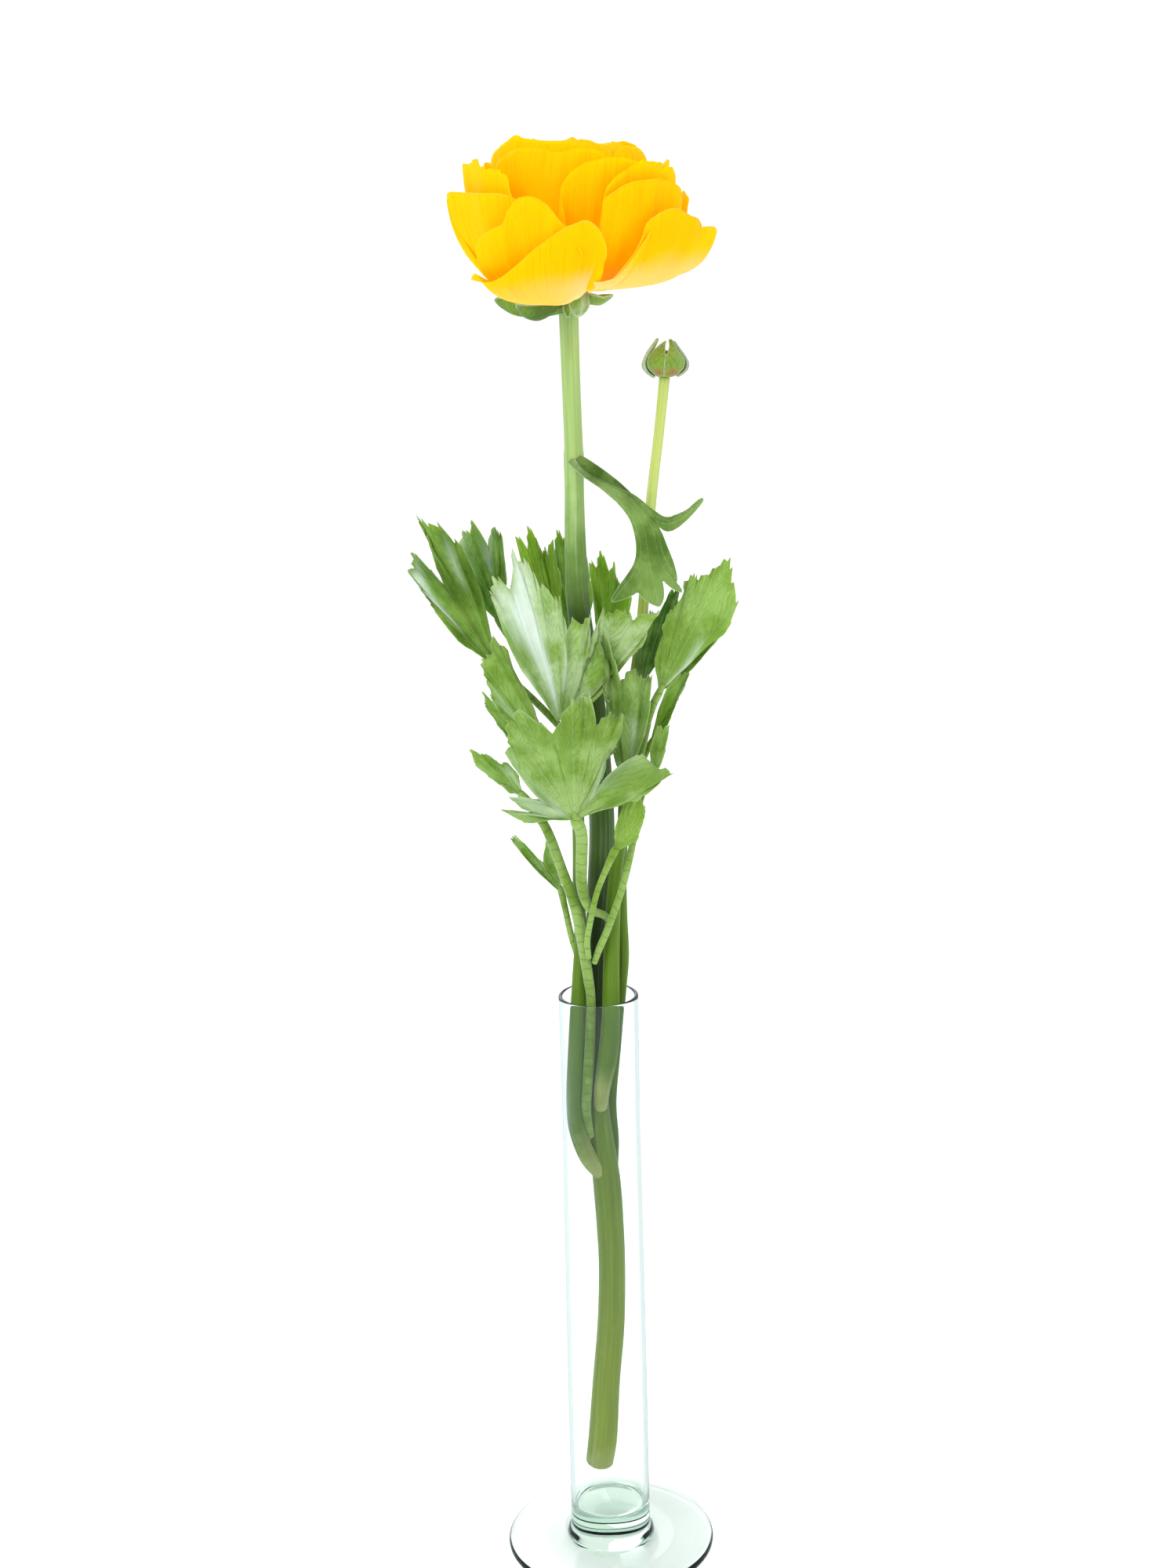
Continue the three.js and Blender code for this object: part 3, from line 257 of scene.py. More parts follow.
        before=(-10, 24, 302), after=(4, 26, 305),
        tips=[(-11.5, 27, 323, 0.9), (-9.4, 28, 332, 0.9), (-5.4, 28, 331, 0.9), (-0.5, 28, 325, 0.8)]),
    "leaf_back_right": dict(
        tone=0.4, warm=0.95, silver=0.0, wave=0.6, front="upper", bow=(0, 1, 0),
        stalk=[(2.6, 5.4, 254, 0.9), (5.4, 14, 270, 0.9), (5, 18, 290, 0.9)], base=(5, 18, 289),
        before=(-0.5, 18, 303), after=(12, 20, 300),
        tips=[(0, 19, 323, 0.85), (4, 21, 326, 0.85), (8.2, 22, 322, 0.93), (9.4, 22, 316.5, 0.9),
              (13.5, 21, 311, 0.8)]),
}

# The upper leaf. Its ribs run from the clasping base at the stem, edge by edge: the left edge, the three
# hanging lobes and a small tooth, the two points of the side arm, and the upper edge.
UPPER_RIBS = [
    [(-5.4, -4.5, 354.4), (-1.4, -7.5, 351), (4.1, -10, 347.3), (9, -11.6, 342.9), (12.9, -12.8, 336.9),
     (13.9, -14, 328), (10.5, -15.4, 320.5)],
    [(-5.1, -4.5, 354.6), (-1.2, -7.6, 351.2), (4.3, -10.1, 347.5), (9.5, -11.7, 343.4), (13.9, -13, 336.6),
     (15, -14.4, 326.5), (6.7, -16, 314.7)],
    [(-4.4, -4.5, 354.9), (-1, -7.7, 351.5), (4.8, -10.2, 347.9), (11.1, -11.8, 343.9), (16.1, -13.1, 336.3),
     (17.9, -14.7, 324.8), (20.4, -16.4, 313)],
    [(-3.9, -4.5, 355.1), (-0.8, -7.8, 351.8), (5.3, -10.3, 348.3), (12.2, -11.8, 344.2), (18.4, -13, 336.3),
     (21.1, -14.6, 325.7), (27.1, -16, 317)],
    [(-3.7, -4.5, 355.2), (-0.5, -7.8, 351.9), (5.6, -10.3, 348.4), (12.7, -11.7, 344.5),
     (19.6, -12.8, 336.5), (22.1, -14.2, 327.9), (25.9, -15.2, 320.8)],
    [(-3.4, -4.5, 355.2), (-0.4, -7.8, 352), (6, -10.3, 348.4), (13.1, -11.5, 344.8), (19.8, -12.6, 337.8),
     (25.7, -13.2, 337.2), (33.7, -14.2, 343.2)],
    [(-3.3, -4.5, 355.3), (-0.4, -7.8, 352.1), (6.3, -10.2, 348.3), (13.4, -11.3, 345), (19.8, -12.4, 339.3),
     (24.8, -13, 338.1), (31.5, -14, 342.5)],
    [(-3.2, -4.5, 355.3), (-0.3, -7.8, 352.2), (6.5, -10.2, 348.2), (13.6, -11, 345.2), (19.6, -12.2, 340.7),
     (23, -12.8, 338.8), (27.1, -13.4, 339.7)],
]
UPPER_NOTCHES = [0.97, 0.93, 0.89, 0.95, 0.68, 0.96, 0.93]
UPPER_LOOK = dict(tone=0.34, warm=0.25, silver=0.06, fuzz=0.3)
UPPER_THICKER = 0.15  # how much thicker it is than the other leaves
# The far wall of its channel: the keel under it and its free edge above
UPPER_KEEL = [
    (-5.2, -4.3, 354.3), (-1.4, -7.3, 350.9), (4.1, -9.8, 347.2), (9, -11.2, 343), (12.6, -11.6, 341)]
UPPER_EDGE = [
    (-2.3, -2.5, 356.9), (1.5, -4.6, 354.7), (6, -6.8, 351.6), (10, -8.6, 348.5), (14, -10.8, 344.8)]
# Its low tone is painted shade: this far wall of the channel lies in shade.
UPPER_WALL_LOOK = dict(tone=0.12, warm=0.2, silver=0.05, fuzz=0.3)

# Petals that show at the front, from the outermost in. rim: the petal's free edge. belly: how far out
# the bowl of the petal reaches. low and high: the heights of the bowl's two bends as shares of the
# petal's height, and near and far: how far out they lie as shares of its reach. lift: how much higher
# both bends lie towards the petal's right side. root: how high above the bloom's base it starts. ease:
# the shares of the half width, on the left and the right, from which it loses the bowl. pale: how much
# cream its outside shows, or how much on its left and on its right. teeth: how deep its edge is cut, as
# a share of its length. Where far, lift, ease and pale are left out, petal_sheet has them.
FRONT_PETALS = {
    "low_front": dict(
        rim=[(-31, -20.3, 407.4), (-29.6, -22.5, 408.6), (-27.4, -25.7, 406.3), (-23.2, -30, 407.2),
             (-18.4, -33, 410.3), (-12.3, -35.3, 415.4), (-7.8, -36.3, 418.3), (-4.1, -36.8, 420.6),
             (-0.9, -37, 421.7), (1.6, -37, 422.3), (4.5, -36.7, 420.6), (6.4, -36.3, 416.8),
             (7, -35.4, 413), (4.8, -32, 409), (2.2, -26, 406.5), (-1.3, -17, 404)],
        belly=31, low=-0.12, high=0.06, near=0.66, far=0.95, lift=0.45, root=0, ease=(0.6, 0.4),
        pale=(0.3, 1.0), teeth=0.006),
    "left": dict(
        rim=[(-18, -10, 403.6), (-28, -8, 411), (-35.4, -5, 423), (-37.9, -5, 431.1), (-31.9, -13.9, 431),
             (-27, -21.8, 430.6), (-22, -25.8, 430.3), (-18.4, -27.2, 429), (-15.6, -28, 426.4),
             (-13, -28.4, 422), (-10, -28.4, 415)],
        belly=32, low=0.0, high=0.46, near=0.58, far=0.9, root=0.6, ease=(0.7, 1), pale=0.5, teeth=0.006),
    "left_front": dict(
        rim=[(-23.4, -21.4, 407), (-26.4, -19.6, 410.6), (-29.4, -21.4, 416.4), (-25.2, -26.6, 420.3),
             (-21.5, -29.8, 422), (-20, -30.9, 425.2), (-17.1, -32.2, 428.3), (-14.4, -33.3, 429),
             (-12.2, -34, 428.7), (-10, -34.8, 427.4), (-7.6, -35.5, 425), (-5.5, -35.9, 422.1),
             (-2.9, -36.2, 418.9), (0, -36.3, 413)],
        belly=33.5, low=0.0, high=0.42, near=0.66, far=0.97, root=0.8, ease=(0.8, 0.55), pale=0.15,
        teeth=0.004),
    "upper_left": dict(
        rim=[(-28, 2, 420), (-33, -2, 438.4), (-31, -8.4, 440.2), (-28.8, -13.3, 440.9),
             (-26.9, -17.3, 439.4), (-23.8, -21.9, 437.9), (-21, -24.9, 436.1), (-19.3, -26.6, 433.4),
             (-18.9, -27.2, 430.5), (-17.4, -28.3, 427), (-15, -28.6, 421)],
        belly=31, low=0.04, high=0.5, near=0.6, far=0.93, root=1.2, teeth=0.05),
    "right_low": dict(
        rim=[(2.5, -20, 405.4), (4.2, -30, 406), (6.4, -33.4, 406.2), (9.8, -35, 407.4), (14, -34.6, 411.4),
             (17.4, -32.4, 416.4), (20.4, -29.6, 420.2), (24.6, -25.6, 422.6), (28, -22.5, 423.4),
             (30.8, -19.6, 421.8), (33, -15.8, 420.3), (37.4, -9, 420.6), (38.9, -5.4, 418.6),
             (37.4, -3.4, 415.6), (35.4, -2, 413), (31, 0, 409)],
        belly=33, low=0.2, high=0.28, near=0.66, far=0.94, root=3.6, ease=(0.6, 0.7), pale=0.95,
        teeth=0.01),
    "right": dict(
        rim=[(2.9, -27, 405.7), (7.2, -31, 406), (9.8, -32, 407.8), (13.9, -32.6, 412.6),
             (16.7, -32, 417.6), (18.9, -31, 421.8), (23.6, -28, 424.7), (27.3, -25, 425.1),
             (30.6, -21, 423.7), (32.6, -17, 422), (33.5, -11, 418), (32, -7, 411)],
        belly=33.5, low=0.0, high=0.3, near=0.88, root=3.4, ease=(0.75, 0.75), pale=0.6, teeth=0.01),
    "right_inner": dict(
        rim=[(3.6, -29, 407.6), (6.4, -33.4, 412.8), (5.8, -33.6, 419), (5.7, -33.4, 425),
             (6.8, -33, 428.2), (9.5, -32, 430), (14.3, -30, 432.4), (20.6, -26, 433.2), (24.6, -22, 432.8),
             (27.8, -18, 431), (28, -13, 427), (27, -8, 420)],
        belly=32, low=-0.02, high=0.32, near=0.9, far=1.02, root=3.4, ease=(0.85, 1), pale=0.25,
        teeth=0.012),
    "right_back": dict(
        rim=[(5.4, -31.4, 418), (6.2, -31.4, 427), (7.5, -31, 431.6), (11.5, -29, 435), (15, -27, 437),
             (18, -25, 438.4), (20.8, -22.8, 438.2), (23.2, -20, 436.4), (25.4, -17, 437), (26.7, -13, 434),
             (26, -6, 430), (25, 0, 422)],
        belly=30, low=0.1, high=0.5, near=0.74, root=3, teeth=0.02),
    "round_front": dict(
        rim=[(-2.9, -28.8, 413), (-4.2, -29.2, 423.9), (-4.9, -29.2, 428.2), (-4.8, -28.8, 431.5),
             (-2.5, -28.4, 434.8), (1.3, -27.5, 437.5), (4, -27, 438.2), (7.9, -26, 438.9),
             (11.9, -24.7, 438.9), (15.3, -23.1, 438.2), (18.4, -21.7, 436.6), (19.5, -19, 430)],
        belly=28.6, low=0.1, high=0.56, near=0.72, root=2.4, teeth=0.006),
    "dome_front": dict(
        rim=[(-25, -6, 423), (-24.4, -8.8, 434), (-22.8, -12, 438.9), (-20.9, -14, 440.9),
             (-17.8, -16.5, 442.2), (-13.2, -19, 442.6), (-9.2, -21, 441.9), (-5.5, -22.5, 440.8),
             (-2.3, -22.6, 441.4), (1.6, -22.5, 441.9), (5.5, -22, 441.2), (9, -21, 438)],
        belly=27.4, low=0.1, high=0.68, near=0.7, root=2.4, teeth=0.006),
    "dome_left": dict(
        rim=[(-25, 6, 430), (-25.4, 2, 438.5), (-24, -3.4, 441.7), (-22.3, -7, 443.3),
             (-19.8, -10.4, 444.6), (-17, -13, 446.2), (-14.2, -14.6, 445.2), (-8.2, -17.3, 444.4),
             (-2.3, -18.1, 443.9), (2.6, -18.5, 442.8), (6, -17, 440)],
        belly=26.4, low=0.1, high=0.76, near=0.68, root=2.4, teeth=0.012),
}

# Petals round the sides and back and over the middle: azimuth of the middle (0 is +X, 90 is +Y), half
# the angle, height of the free edge, how far its sides fall, its radius there, belly, low, high, root
# and pale. Those that show cream are bent as the first near and far say, and the others as the second.
ROUND_BENDS = {"pale": (0.6, 0.92), "plain": (0.68, 1.0)}
ROUND_EASE = (0.8, 0.8)
ROUND_TEETH = 0.016
FIRST_ROUND_SEED = 50
ROUND_PETALS = [
    (108, 46, 427, 13, 36.4, 31, 0.02, 0.4, 1, 0.8),
    (30, 34, 424, 12, 36.4, 31.4, 0.2, 0.35, 3.4, 0.8),
    (158, 30, 427, 12, 32.2, 28, 0.06, 0.48, 1.8, 0.6),
    (70, 40, 431, 12, 33.2, 31, 0.1, 0.45, 2.5, 0.2),
    (132, 36, 434, 12, 32, 29.4, 0.06, 0.5, 2, 0.1),
    (18, 30, 431, 12, 30.6, 29.2, 0.16, 0.5, 3.4, 0.1),
    (96, 38, 438, 12, 30.4, 29, 0.1, 0.6, 2, 0),
    (165, 30, 440, 12, 28.6, 27.6, 0.1, 0.65, 2, 0),
    (48, 38, 440, 12, 27, 27, 0.12, 0.65, 3, 0),
    (120, 42, 443, 12, 25, 27, 0.1, 0.75, 2, 0),
    (4, 38, 439.5, 10, 24, 25.4, 0.14, 0.72, 3, 0),
    (262, 44, 444.6, 8, 14.5, 25, 0.12, 0.88, 2.4, 0),
    (70, 50, 445.4, 8, 19, 25.4, 0.12, 0.85, 2.4, 0),
    (330, 46, 442.6, 8, 15.5, 24.6, 0.12, 0.88, 2.4, 0),
    (180, 50, 445.8, 8, 15, 24.6, 0.12, 0.9, 2.4, 0),
    (100, 60, 445.2, 7, 9.5, 24, 0.12, 0.92, 2.4, 0),
    (230, 60, 445, 7, 8.5, 23.4, 0.12, 0.94, 2.4, 0),
    (340, 62, 444.2, 7, 7, 23, 0.12, 0.95, 2.4, 0),
    (110, 80, 444.4, 6, 3.5, 22, 0.12, 0.97, 2.4, 0),
    (260, 80, 444, 6, 2.5, 21, 0.12, 0.98, 2.4, 0),
]

# Sepals under the bloom, each as one edge, the middle line and the other edge, from root to tip. tone,
# warm and silver are as on the leaves. edge: how narrow its light edge is. line: how strong the painted
# highlight line beside its middle is.
SEPALS = {
    "left": dict(ribs=[
        [(-4.4, -2.6, 398.6), (-11, -8.5, 399.4), (-18, -10.5, 400.9), (-23.3, -9.6, 402.2),
         (-25, -7.5, 401.6)],
        [(-4.6, -1.6, 397.4), (-12, -5.5, 396.3), (-18.8, -6.5, 396.9), (-23, -7.2, 399.2),
         (-24.9, -7, 401.1)],
        [(-4.4, 0.6, 398.2), (-11.4, -0.5, 398.6), (-17.6, -1.5, 400), (-22.4, -4, 401.4),
         (-24.7, -6.5, 401.5)],
    ], tone=0.34, warm=0.75, silver=0.0),
    "left_front": dict(ribs=[
        [(-5, -3.4, 400.2), (-8, -8, 400.4), (-12.5, -13, 400), (-16.5, -14, 400), (-18.8, -12.6, 400.4)],
        [(-5.2, -3, 399.2), (-8.4, -6.6, 397.2), (-12.6, -8.4, 395.4), (-16.4, -10, 396.4),
         (-18.7, -11.4, 399.2)],
        [(-4.8, -1.6, 399.2), (-9, -3, 398.6), (-13.4, -4, 398.6), (-17, -7, 399), (-18.5, -10.6, 400)],
    ], tone=0.14, warm=0.6, silver=0.0, line=0.7),
    "tongue": dict(ribs=[
        [(-5.3, -4.6, 400.6), (-5.6, -4.5, 399), (-5.2, -4.6, 397.2), (-4.5, -4.6, 396)],
        [(-4.4, -4.3, 400.8), (-4.5, -4.1, 399), (-4.3, -4.2, 397.2), (-4.1, -4.5, 395.9)],
        [(-3.4, -4.9, 400.8), (-3.3, -4.8, 399), (-3.2, -4.8, 397.4), (-3.5, -4.8, 396.1)],
    ], tone=1.0, warm=2.0, silver=0, edge=0.6, line=0.0),
    "front": dict(ribs=[
        [(-0.6, -4.6, 404.4), (-3, -5.6, 402), (-3.6, -6, 399), (-2.4, -5.8, 396.6)],
        [(0.3, -5, 404.6), (-0.6, -7, 402), (-1, -7.6, 399), (-1.1, -6.4, 396)],
        [(1.2, -4.6, 404.4), (1.9, -5.6, 402), (2.1, -6, 399), (0.2, -5.8, 396.6)],
    ], tone=0.6, warm=0.8, silver=0.3),
    "right": dict(ribs=[
        [(0.6, -3.4, 402.6), (3, -6.4, 402.4), (6, -7.4, 401.6), (9, -5.6, 402)],
        [(0.4, -2.6, 400.4), (3, -4, 399.4), (5.8, -4.6, 399.5), (8.9, -4.6, 401.6)],
        [(0.8, -1, 401.4), (3.2, -0.8, 401.6), (6, -1.6, 402), (8.6, -3.8, 402)],
    ], tone=0.55, warm=0.9, silver=0.15),
    "back": dict(ribs=[
        [(-4.6, 1.6, 398.6), (-3.6, 8, 399), (-2, 14, 401)],
        [(-3.6, 1.8, 397.6), (-1.6, 9, 396.6), (0, 15, 400.6)],
        [(-2.4, 1.2, 398.6), (1, 7.4, 399.2), (1.6, 13.4, 401)],
    ], tone=0.35, warm=0.6, silver=0.15),
}
RECEPTACLE = dict(centre=(-2.9, -0.3, 399.8), radius=3.6, half_height=3.3)
RECEPTACLE_LOOK = dict(tone=0.7, warm=0.5, silver=0.3, fuzz=1.0)

# The closed bud's sepals, drawn the same way, and the core inside them
BUD_SEPALS = {
    "back": dict(ribs=[
        [(21.6, 11.6, 378), (20.8, 13.4, 380), (21, 13.6, 382.4), (22.6, 12.6, 384.4), (24, 11.6, 385.2)],
        [(24.2, 13, 377.8), (24.4, 14.6, 380), (24.4, 14.6, 382.4), (24.4, 13.4, 384.4), (24.4, 11.8, 385.3)],
        [(27, 11.6, 378), (27.8, 13.4, 380), (27.6, 13.6, 382.4), (26.4, 12.6, 384.4), (24.8, 11.6, 385.2)],
    ], tone=0.5, warm=0.5, silver=0.3),
    "left": dict(ribs=[
        [(21, 6, 377.8), (18.9, 5.6, 379.6), (18.2, 5.6, 382), (19.4, 6, 384.6), (20.9, 7, 386.6),
         (22.3, 8.4, 388.9)],
        [(20.6, 8, 377.7), (18.2, 8, 379.6), (17.4, 8, 381.6), (18.6, 8, 384.6), (20, 8.4, 386.6),
         (21.9, 9, 389)],
        [(21.4, 11.6, 378), (19.8, 12.6, 380), (19.4, 12.8, 382.4), (20.6, 12, 385), (21.6, 11, 387),
         (22.4, 9.8, 388.8)],
    ], tone=0.6, warm=0.2, silver=0.8, line=1.0, edge=0.14),
    "right": dict(ribs=[
        [(27.6, 5.4, 378), (29.9, 5.6, 379.8), (30.4, 5.8, 382), (29, 6, 384.4), (27.8, 7, 386.2),
         (26.6, 8, 388)],
        [(28, 8, 377.8), (30.4, 8, 379.6), (30.9, 8, 381.8), (29.8, 8, 384), (28.4, 8.4, 386),
         (27, 8.8, 388.1)],
        [(27.2, 11.6, 378), (28.8, 12.6, 380), (29.2, 12.8, 382.4), (28, 12, 385), (27.4, 11, 387),
         (26.8, 9.8, 388)],
    ], tone=0.35, warm=0.1, silver=0.6, line=0.7, edge=0.25),
    "front_left": dict(ribs=[
        [(21.6, 4.6, 378.3), (19.3, 4.4, 380.4), (19, 4.2, 383), (20.4, 4.2, 385.3), (22.9, 5.6, 387.4),
         (24.3, 6.8, 388.2)],
        [(22.8, 3.2, 378.4), (21.4, 1.8, 380.6), (21.4, 1.4, 383), (22.4, 2.4, 385.2), (23.6, 5, 387.2),
         (24.4, 6.8, 388.2)],
        [(23.9, 3.2, 378.6), (24, 1.8, 380.4), (24.2, 1.6, 383.4), (24, 3, 385.2), (24.2, 5.2, 387),
         (24.5, 6.8, 388.2)],
    ], tone=0.66, warm=0.6, silver=0.0, line=0.0, edge=0.6),
    "front_right": dict(ribs=[
        [(23.4, 3, 378.4), (23.4, 1.5, 380.3), (23.6, 1.3, 382.8), (24.6, 2.6, 384.8), (25.3, 5, 386.6),
         (25.2, 6.6, 388.4)],
        [(25.4, 3, 378.2), (26.4, 1.6, 380.4), (26.6, 1.6, 382.8), (26.4, 3, 385), (26.2, 5.2, 387),
         (25.7, 6.6, 388.7)],
        [(27.6, 4.2, 378.6), (29.2, 4.2, 380.5), (29.6, 4.2, 382.6), (28.4, 4.2, 384.6), (27, 5.4, 386.8),
         (26.4, 6.6, 388.4)],
    ], tone=0.62, warm=0.55, silver=0.05, line=0.0, edge=0.6),
}
BUD_CORE = dict(centre=(24.2, 8, 381), radius=5.2, half_height=3.5)
BUD_CORE_LOOK = dict(tone=0.6, warm=0.7, silver=0.1)


def colour(name, default, text):
    """A colour property with linear values."""
    return bpy.props.FloatVectorProperty(
        name=name, default=default, subtype="COLOR", size=3, min=0, max=1, description=text)


def length(name, default_mm, text):
    """A length property, kept in metres."""
    return bpy.props.FloatProperty(
        name=name, default=default_mm * MM, unit="LENGTH", precision=5, description=text)


class RanunculusBloomSettings(bpy.types.PropertyGroup):
    thickness: length("Petal thickness", 0.24, "Thickness of a petal")
    petal: colour("Petal", (1.0, 0.41, 0.0), "Colour of the petals in the light")
    # The fold colour is painted shade deep between the petals near their roots, and it also warms their fine
    # lines.
    fold: colour("Fold", (1.0, 0.31, 0.0), "Colour deep between the petals")
    cream: colour("Cream", (0.86, 0.45, 0.15), "Colour of the petals' lower outsides")
    root: colour("Root", (0.5, 0.56, 0.2), "Colour where the petals start")


class RanunculusLeafSettings(bpy.types.PropertyGroup):
    thickness: length("Blade thickness", 0.36, "Thickness of a leaf")
    dark: colour("Dark green", (0.03, 0.085, 0.006), "Colour of the darkest leaves")
    light: colour("Light green", (0.29, 0.46, 0.08), "Colour of the lightest leaves")
    warm: colour("Yellow green", (0.23, 0.4, 0.008), "Colour of young leaves that light shines through")
    silver: colour("Silver", (0.62, 0.72, 0.58), "Colour of the veins, hoary patches and margins")
    # The painted highlight: the colour of the pale bands painted on the blades and of the lines on the
    # sepals.
    sheen: colour("Sheen", (0.72, 0.83, 0.76), "Colour of the pale bands on the blades")
    blush: colour("Blush", (0.4, 0.12, 0.07), "Colour of the reddish middles of the bud's sepals")


class RanunculusStemSettings(bpy.types.PropertyGroup):
    low: colour("Cut end", (0.29, 0.37, 0.012), "Colour of the stem at its cut end")
    middle: colour("Stem", (0.022, 0.048, 0.007), "Colour of the stem at its middle")
    high: colour("Pale stem", (0.37, 0.54, 0.17), "Colour of the stem under the bloom")
    shoot: colour("Shoot", (0.115, 0.22, 0.008), "Colour of the side shoots")
    stalk: colour("Bud stalk", (0.56, 0.66, 0.17), "Colour of the bud's stalk")
    line: colour("Lines", (0.03, 0.07, 0.01), "Colour of the fine dark lines")
    fuzz: colour("Fuzz", (0.72, 0.8, 0.66), "Colour of the fine hairs")
    shoot_fuzz: colour("Shoot fuzz", (0.4, 0.56, 0.2), "Colour of the side shoots where they turn away")


class RanunculusVaseSettings(bpy.types.PropertyGroup):
    sides: bpy.props.IntProperty(name="Sides", default=160, min=32, description="Facets round the glass")
    tint: colour("Tint", (0.95, 0.99, 0.965), "Colour of the glass")
    depth: colour("Depth", (0.42, 0.86, 0.56), "Colour that thick glass takes on")


class RanunculusStageSettings(bpy.types.PropertyGroup):
    floor: colour("Floor", (0.95, 0.95, 0.95), "Colour of the floor")
    mirrored: colour("Mirrored floor", (0.62, 0.69, 0.7), "Colour of the floor as the glass mirrors it")
    aside: colour("Sides of the room", (0.72, 0.82, 0.9), "Colour of the room to the left and right")
    floor_radius: bpy.props.FloatProperty(
        name="Floor radius", default=6.0, unit="LENGTH", description="Radius of the round floor")


def smooth_curve(points, t):
    """A smooth curve through the points at parameter t, from 0 at the first to their number less 1 at
    the last: between two points it is the cubic whose slope at each is half the step between that
    point's neighbours."""
    points = np.asarray(points, float)
    last = len(points) - 1
    low = np.clip(np.floor(t).astype(int), 0, last - 1)
    f = (np.asarray(t) - low)[..., None]
    a, b, c, d = (points[np.clip(low + k, 0, last)] for k in (-1, 0, 1, 2))
    return b + 0.5 * f * (c - a + f * (2 * a - 5 * b + 4 * c - d + f * (3 * (b - c) + d - a)))


def unit(vectors):
    """Vectors of length 1 in the same directions."""
    return vectors / np.maximum(np.linalg.norm(vectors, axis=-1, keepdims=True), 1e-12)


def round_turn(sides):
    """The angles of as many points spread evenly round a circle."""
    return 2 * np.pi * np.arange(sides) / sides


def grid_normals(grid):
    """Normals of a grid of points: the cross product of its steps across and along."""
    along, across = np.gradient(grid, axis=(0, 1))
    return unit(np.cross(across, along))


def smoothstep(low, high, x):
    """0 below low, 1 above high, and a smooth cubic step between."""
    f = np.clip((x - low) / (high - low), 0, 1)
    return f * f * (3 - 2 * f)


def travelled_along(grid):
    """How far each point of a grid lies from its first row, in millimetres along its column."""
    steps = np.linalg.norm(np.diff(grid, axis=0), axis=-1)
    return np.concatenate([np.zeros((1, grid.shape[1])), np.cumsum(steps, axis=0)])


def sheet(grid, thickness, marks):
    """A closed thin shell about a grid of points (rows, columns, 3): one face half a thickness to each
    side along the normal, and a wall all round. marks are values on the grid, and "face" is added, 1 on
    the first face and 0 on the other."""
    rows, columns = grid.shape[:2]
    offset = grid_normals(grid) * 0.5 * np.broadcast_to(thickness, (rows, columns))[..., None]
    index = np.arange(rows * columns).reshape(rows, columns)
    top = np.stack([index[:-1, :-1], index[:-1, 1:], index[1:, 1:], index[1:, :-1]], -1).reshape(-1, 4)
    under = top[:, ::-1] + rows * columns
    rim = np.concatenate([index[0, :-1], index[:-1, -1], index[-1, :0:-1], index[:0:-1, 0]])
    after = np.roll(rim, -1)
    wall = np.stack([rim, rim + rows * columns, after + rows * columns, after], -1)
    values = {name: np.tile(np.broadcast_to(v, (rows, columns)).reshape(-1), 2) for name, v in marks.items()}
    values["face"] = np.repeat([1.0, 0.0], rows * columns)
    return {"points": np.concatenate([grid + offset, grid - offset]).reshape(-1, 3),
            "quads": np.concatenate([top, under, wall]), "marks": values}


def closed_rings(rings, poles, marks, other_way=False):
    """A closed skin through rings of points (rows, sides, 3), drawn together at its two ends in the
    poles. other_way is for rings that run anticlockwise as seen from the last pole."""
    rows, sides = rings.shape[:2]
    index = np.arange(rows * sides).reshape(rows, sides)
    nxt = np.roll(index, -1, axis=1)
    quads = np.stack([index[:-1], index[1:], nxt[1:], nxt[:-1]], -1).reshape(-1, 4)
    tris = np.concatenate([
        np.stack([np.full(sides, rows * sides), index[0], nxt[0]], -1),
        np.stack([np.full(sides, rows * sides + 1), nxt[-1], index[-1]], -1)])
    if other_way:
        quads = quads[:, [0, 3, 2, 1]]
        tris = tris[:, [0, 2, 1]]
    return {"points": np.concatenate([rings.reshape(-1, 3), poles]), "quads": quads, "tris": tris,
            "marks": marks}


def tube(route, sides, steps, ridges=0.0):
    """A closed tube along a smooth curve through the route's points, with its radius blended between
    them. Each ring stands square to the curve, on axes made from its direction and +Y. Both ends are
    rounded off by three smaller rings. ridges is the depth of the shallow ribs that run along it."""
    route = np.asarray(route, float)
    t = np.linspace(0, len(route) - 1, (len(route) - 1) * steps + 1)
    centre = smooth_curve(route[:, :3], t)
    radius = smooth_curve(route[:, 3:], t)[:, 0]
    ahead = unit(np.gradient(centre, axis=0))
    side = unit(np.cross(ahead, [0.0, 1.0, 0.0]))
    up = np.cross(side, ahead)
    dome = np.array([0.6, 0.86, 0.97])
    rise = 0.25 * np.array([1.0, 0.7, 0.3])
    centre = np.concatenate([centre[:1] - ahead[:1] * (radius[0] * rise)[:, None], centre,
                             centre[-1:] + ahead[-1:] * (radius[-1] * rise[::-1])[:, None]])
    side, up = (np.concatenate([v[:1].repeat(3, 0), v, v[-1:].repeat(3, 0)]) for v in (side, up))
    radius = np.concatenate([radius[0] * dome, radius, radius[-1] * dome[::-1]])
    angle = round_turn(sides)
    swell = 1 + ridges * np.cos(11 * angle)[None, :] + 0.5 * ridges * np.cos(5 * angle + 1)[None, :]
    ring = np.cos(angle)[None, :, None] * side[:, None, :] + np.sin(angle)[None, :, None] * up[:, None, :]
    rings = centre[:, None, :] + ring * (radius[:, None] * swell)[..., None]
    travelled = np.concatenate([[0], np.cumsum(np.linalg.norm(np.diff(centre, axis=0), axis=1))])
    return closed_rings(rings, centre[[0, -1]], {
        "along": np.concatenate([travelled.repeat(sides), [0, travelled[-1]]]),
        "turn": np.concatenate([np.tile(angle / (2 * np.pi), len(centre)), [0, 0]])})


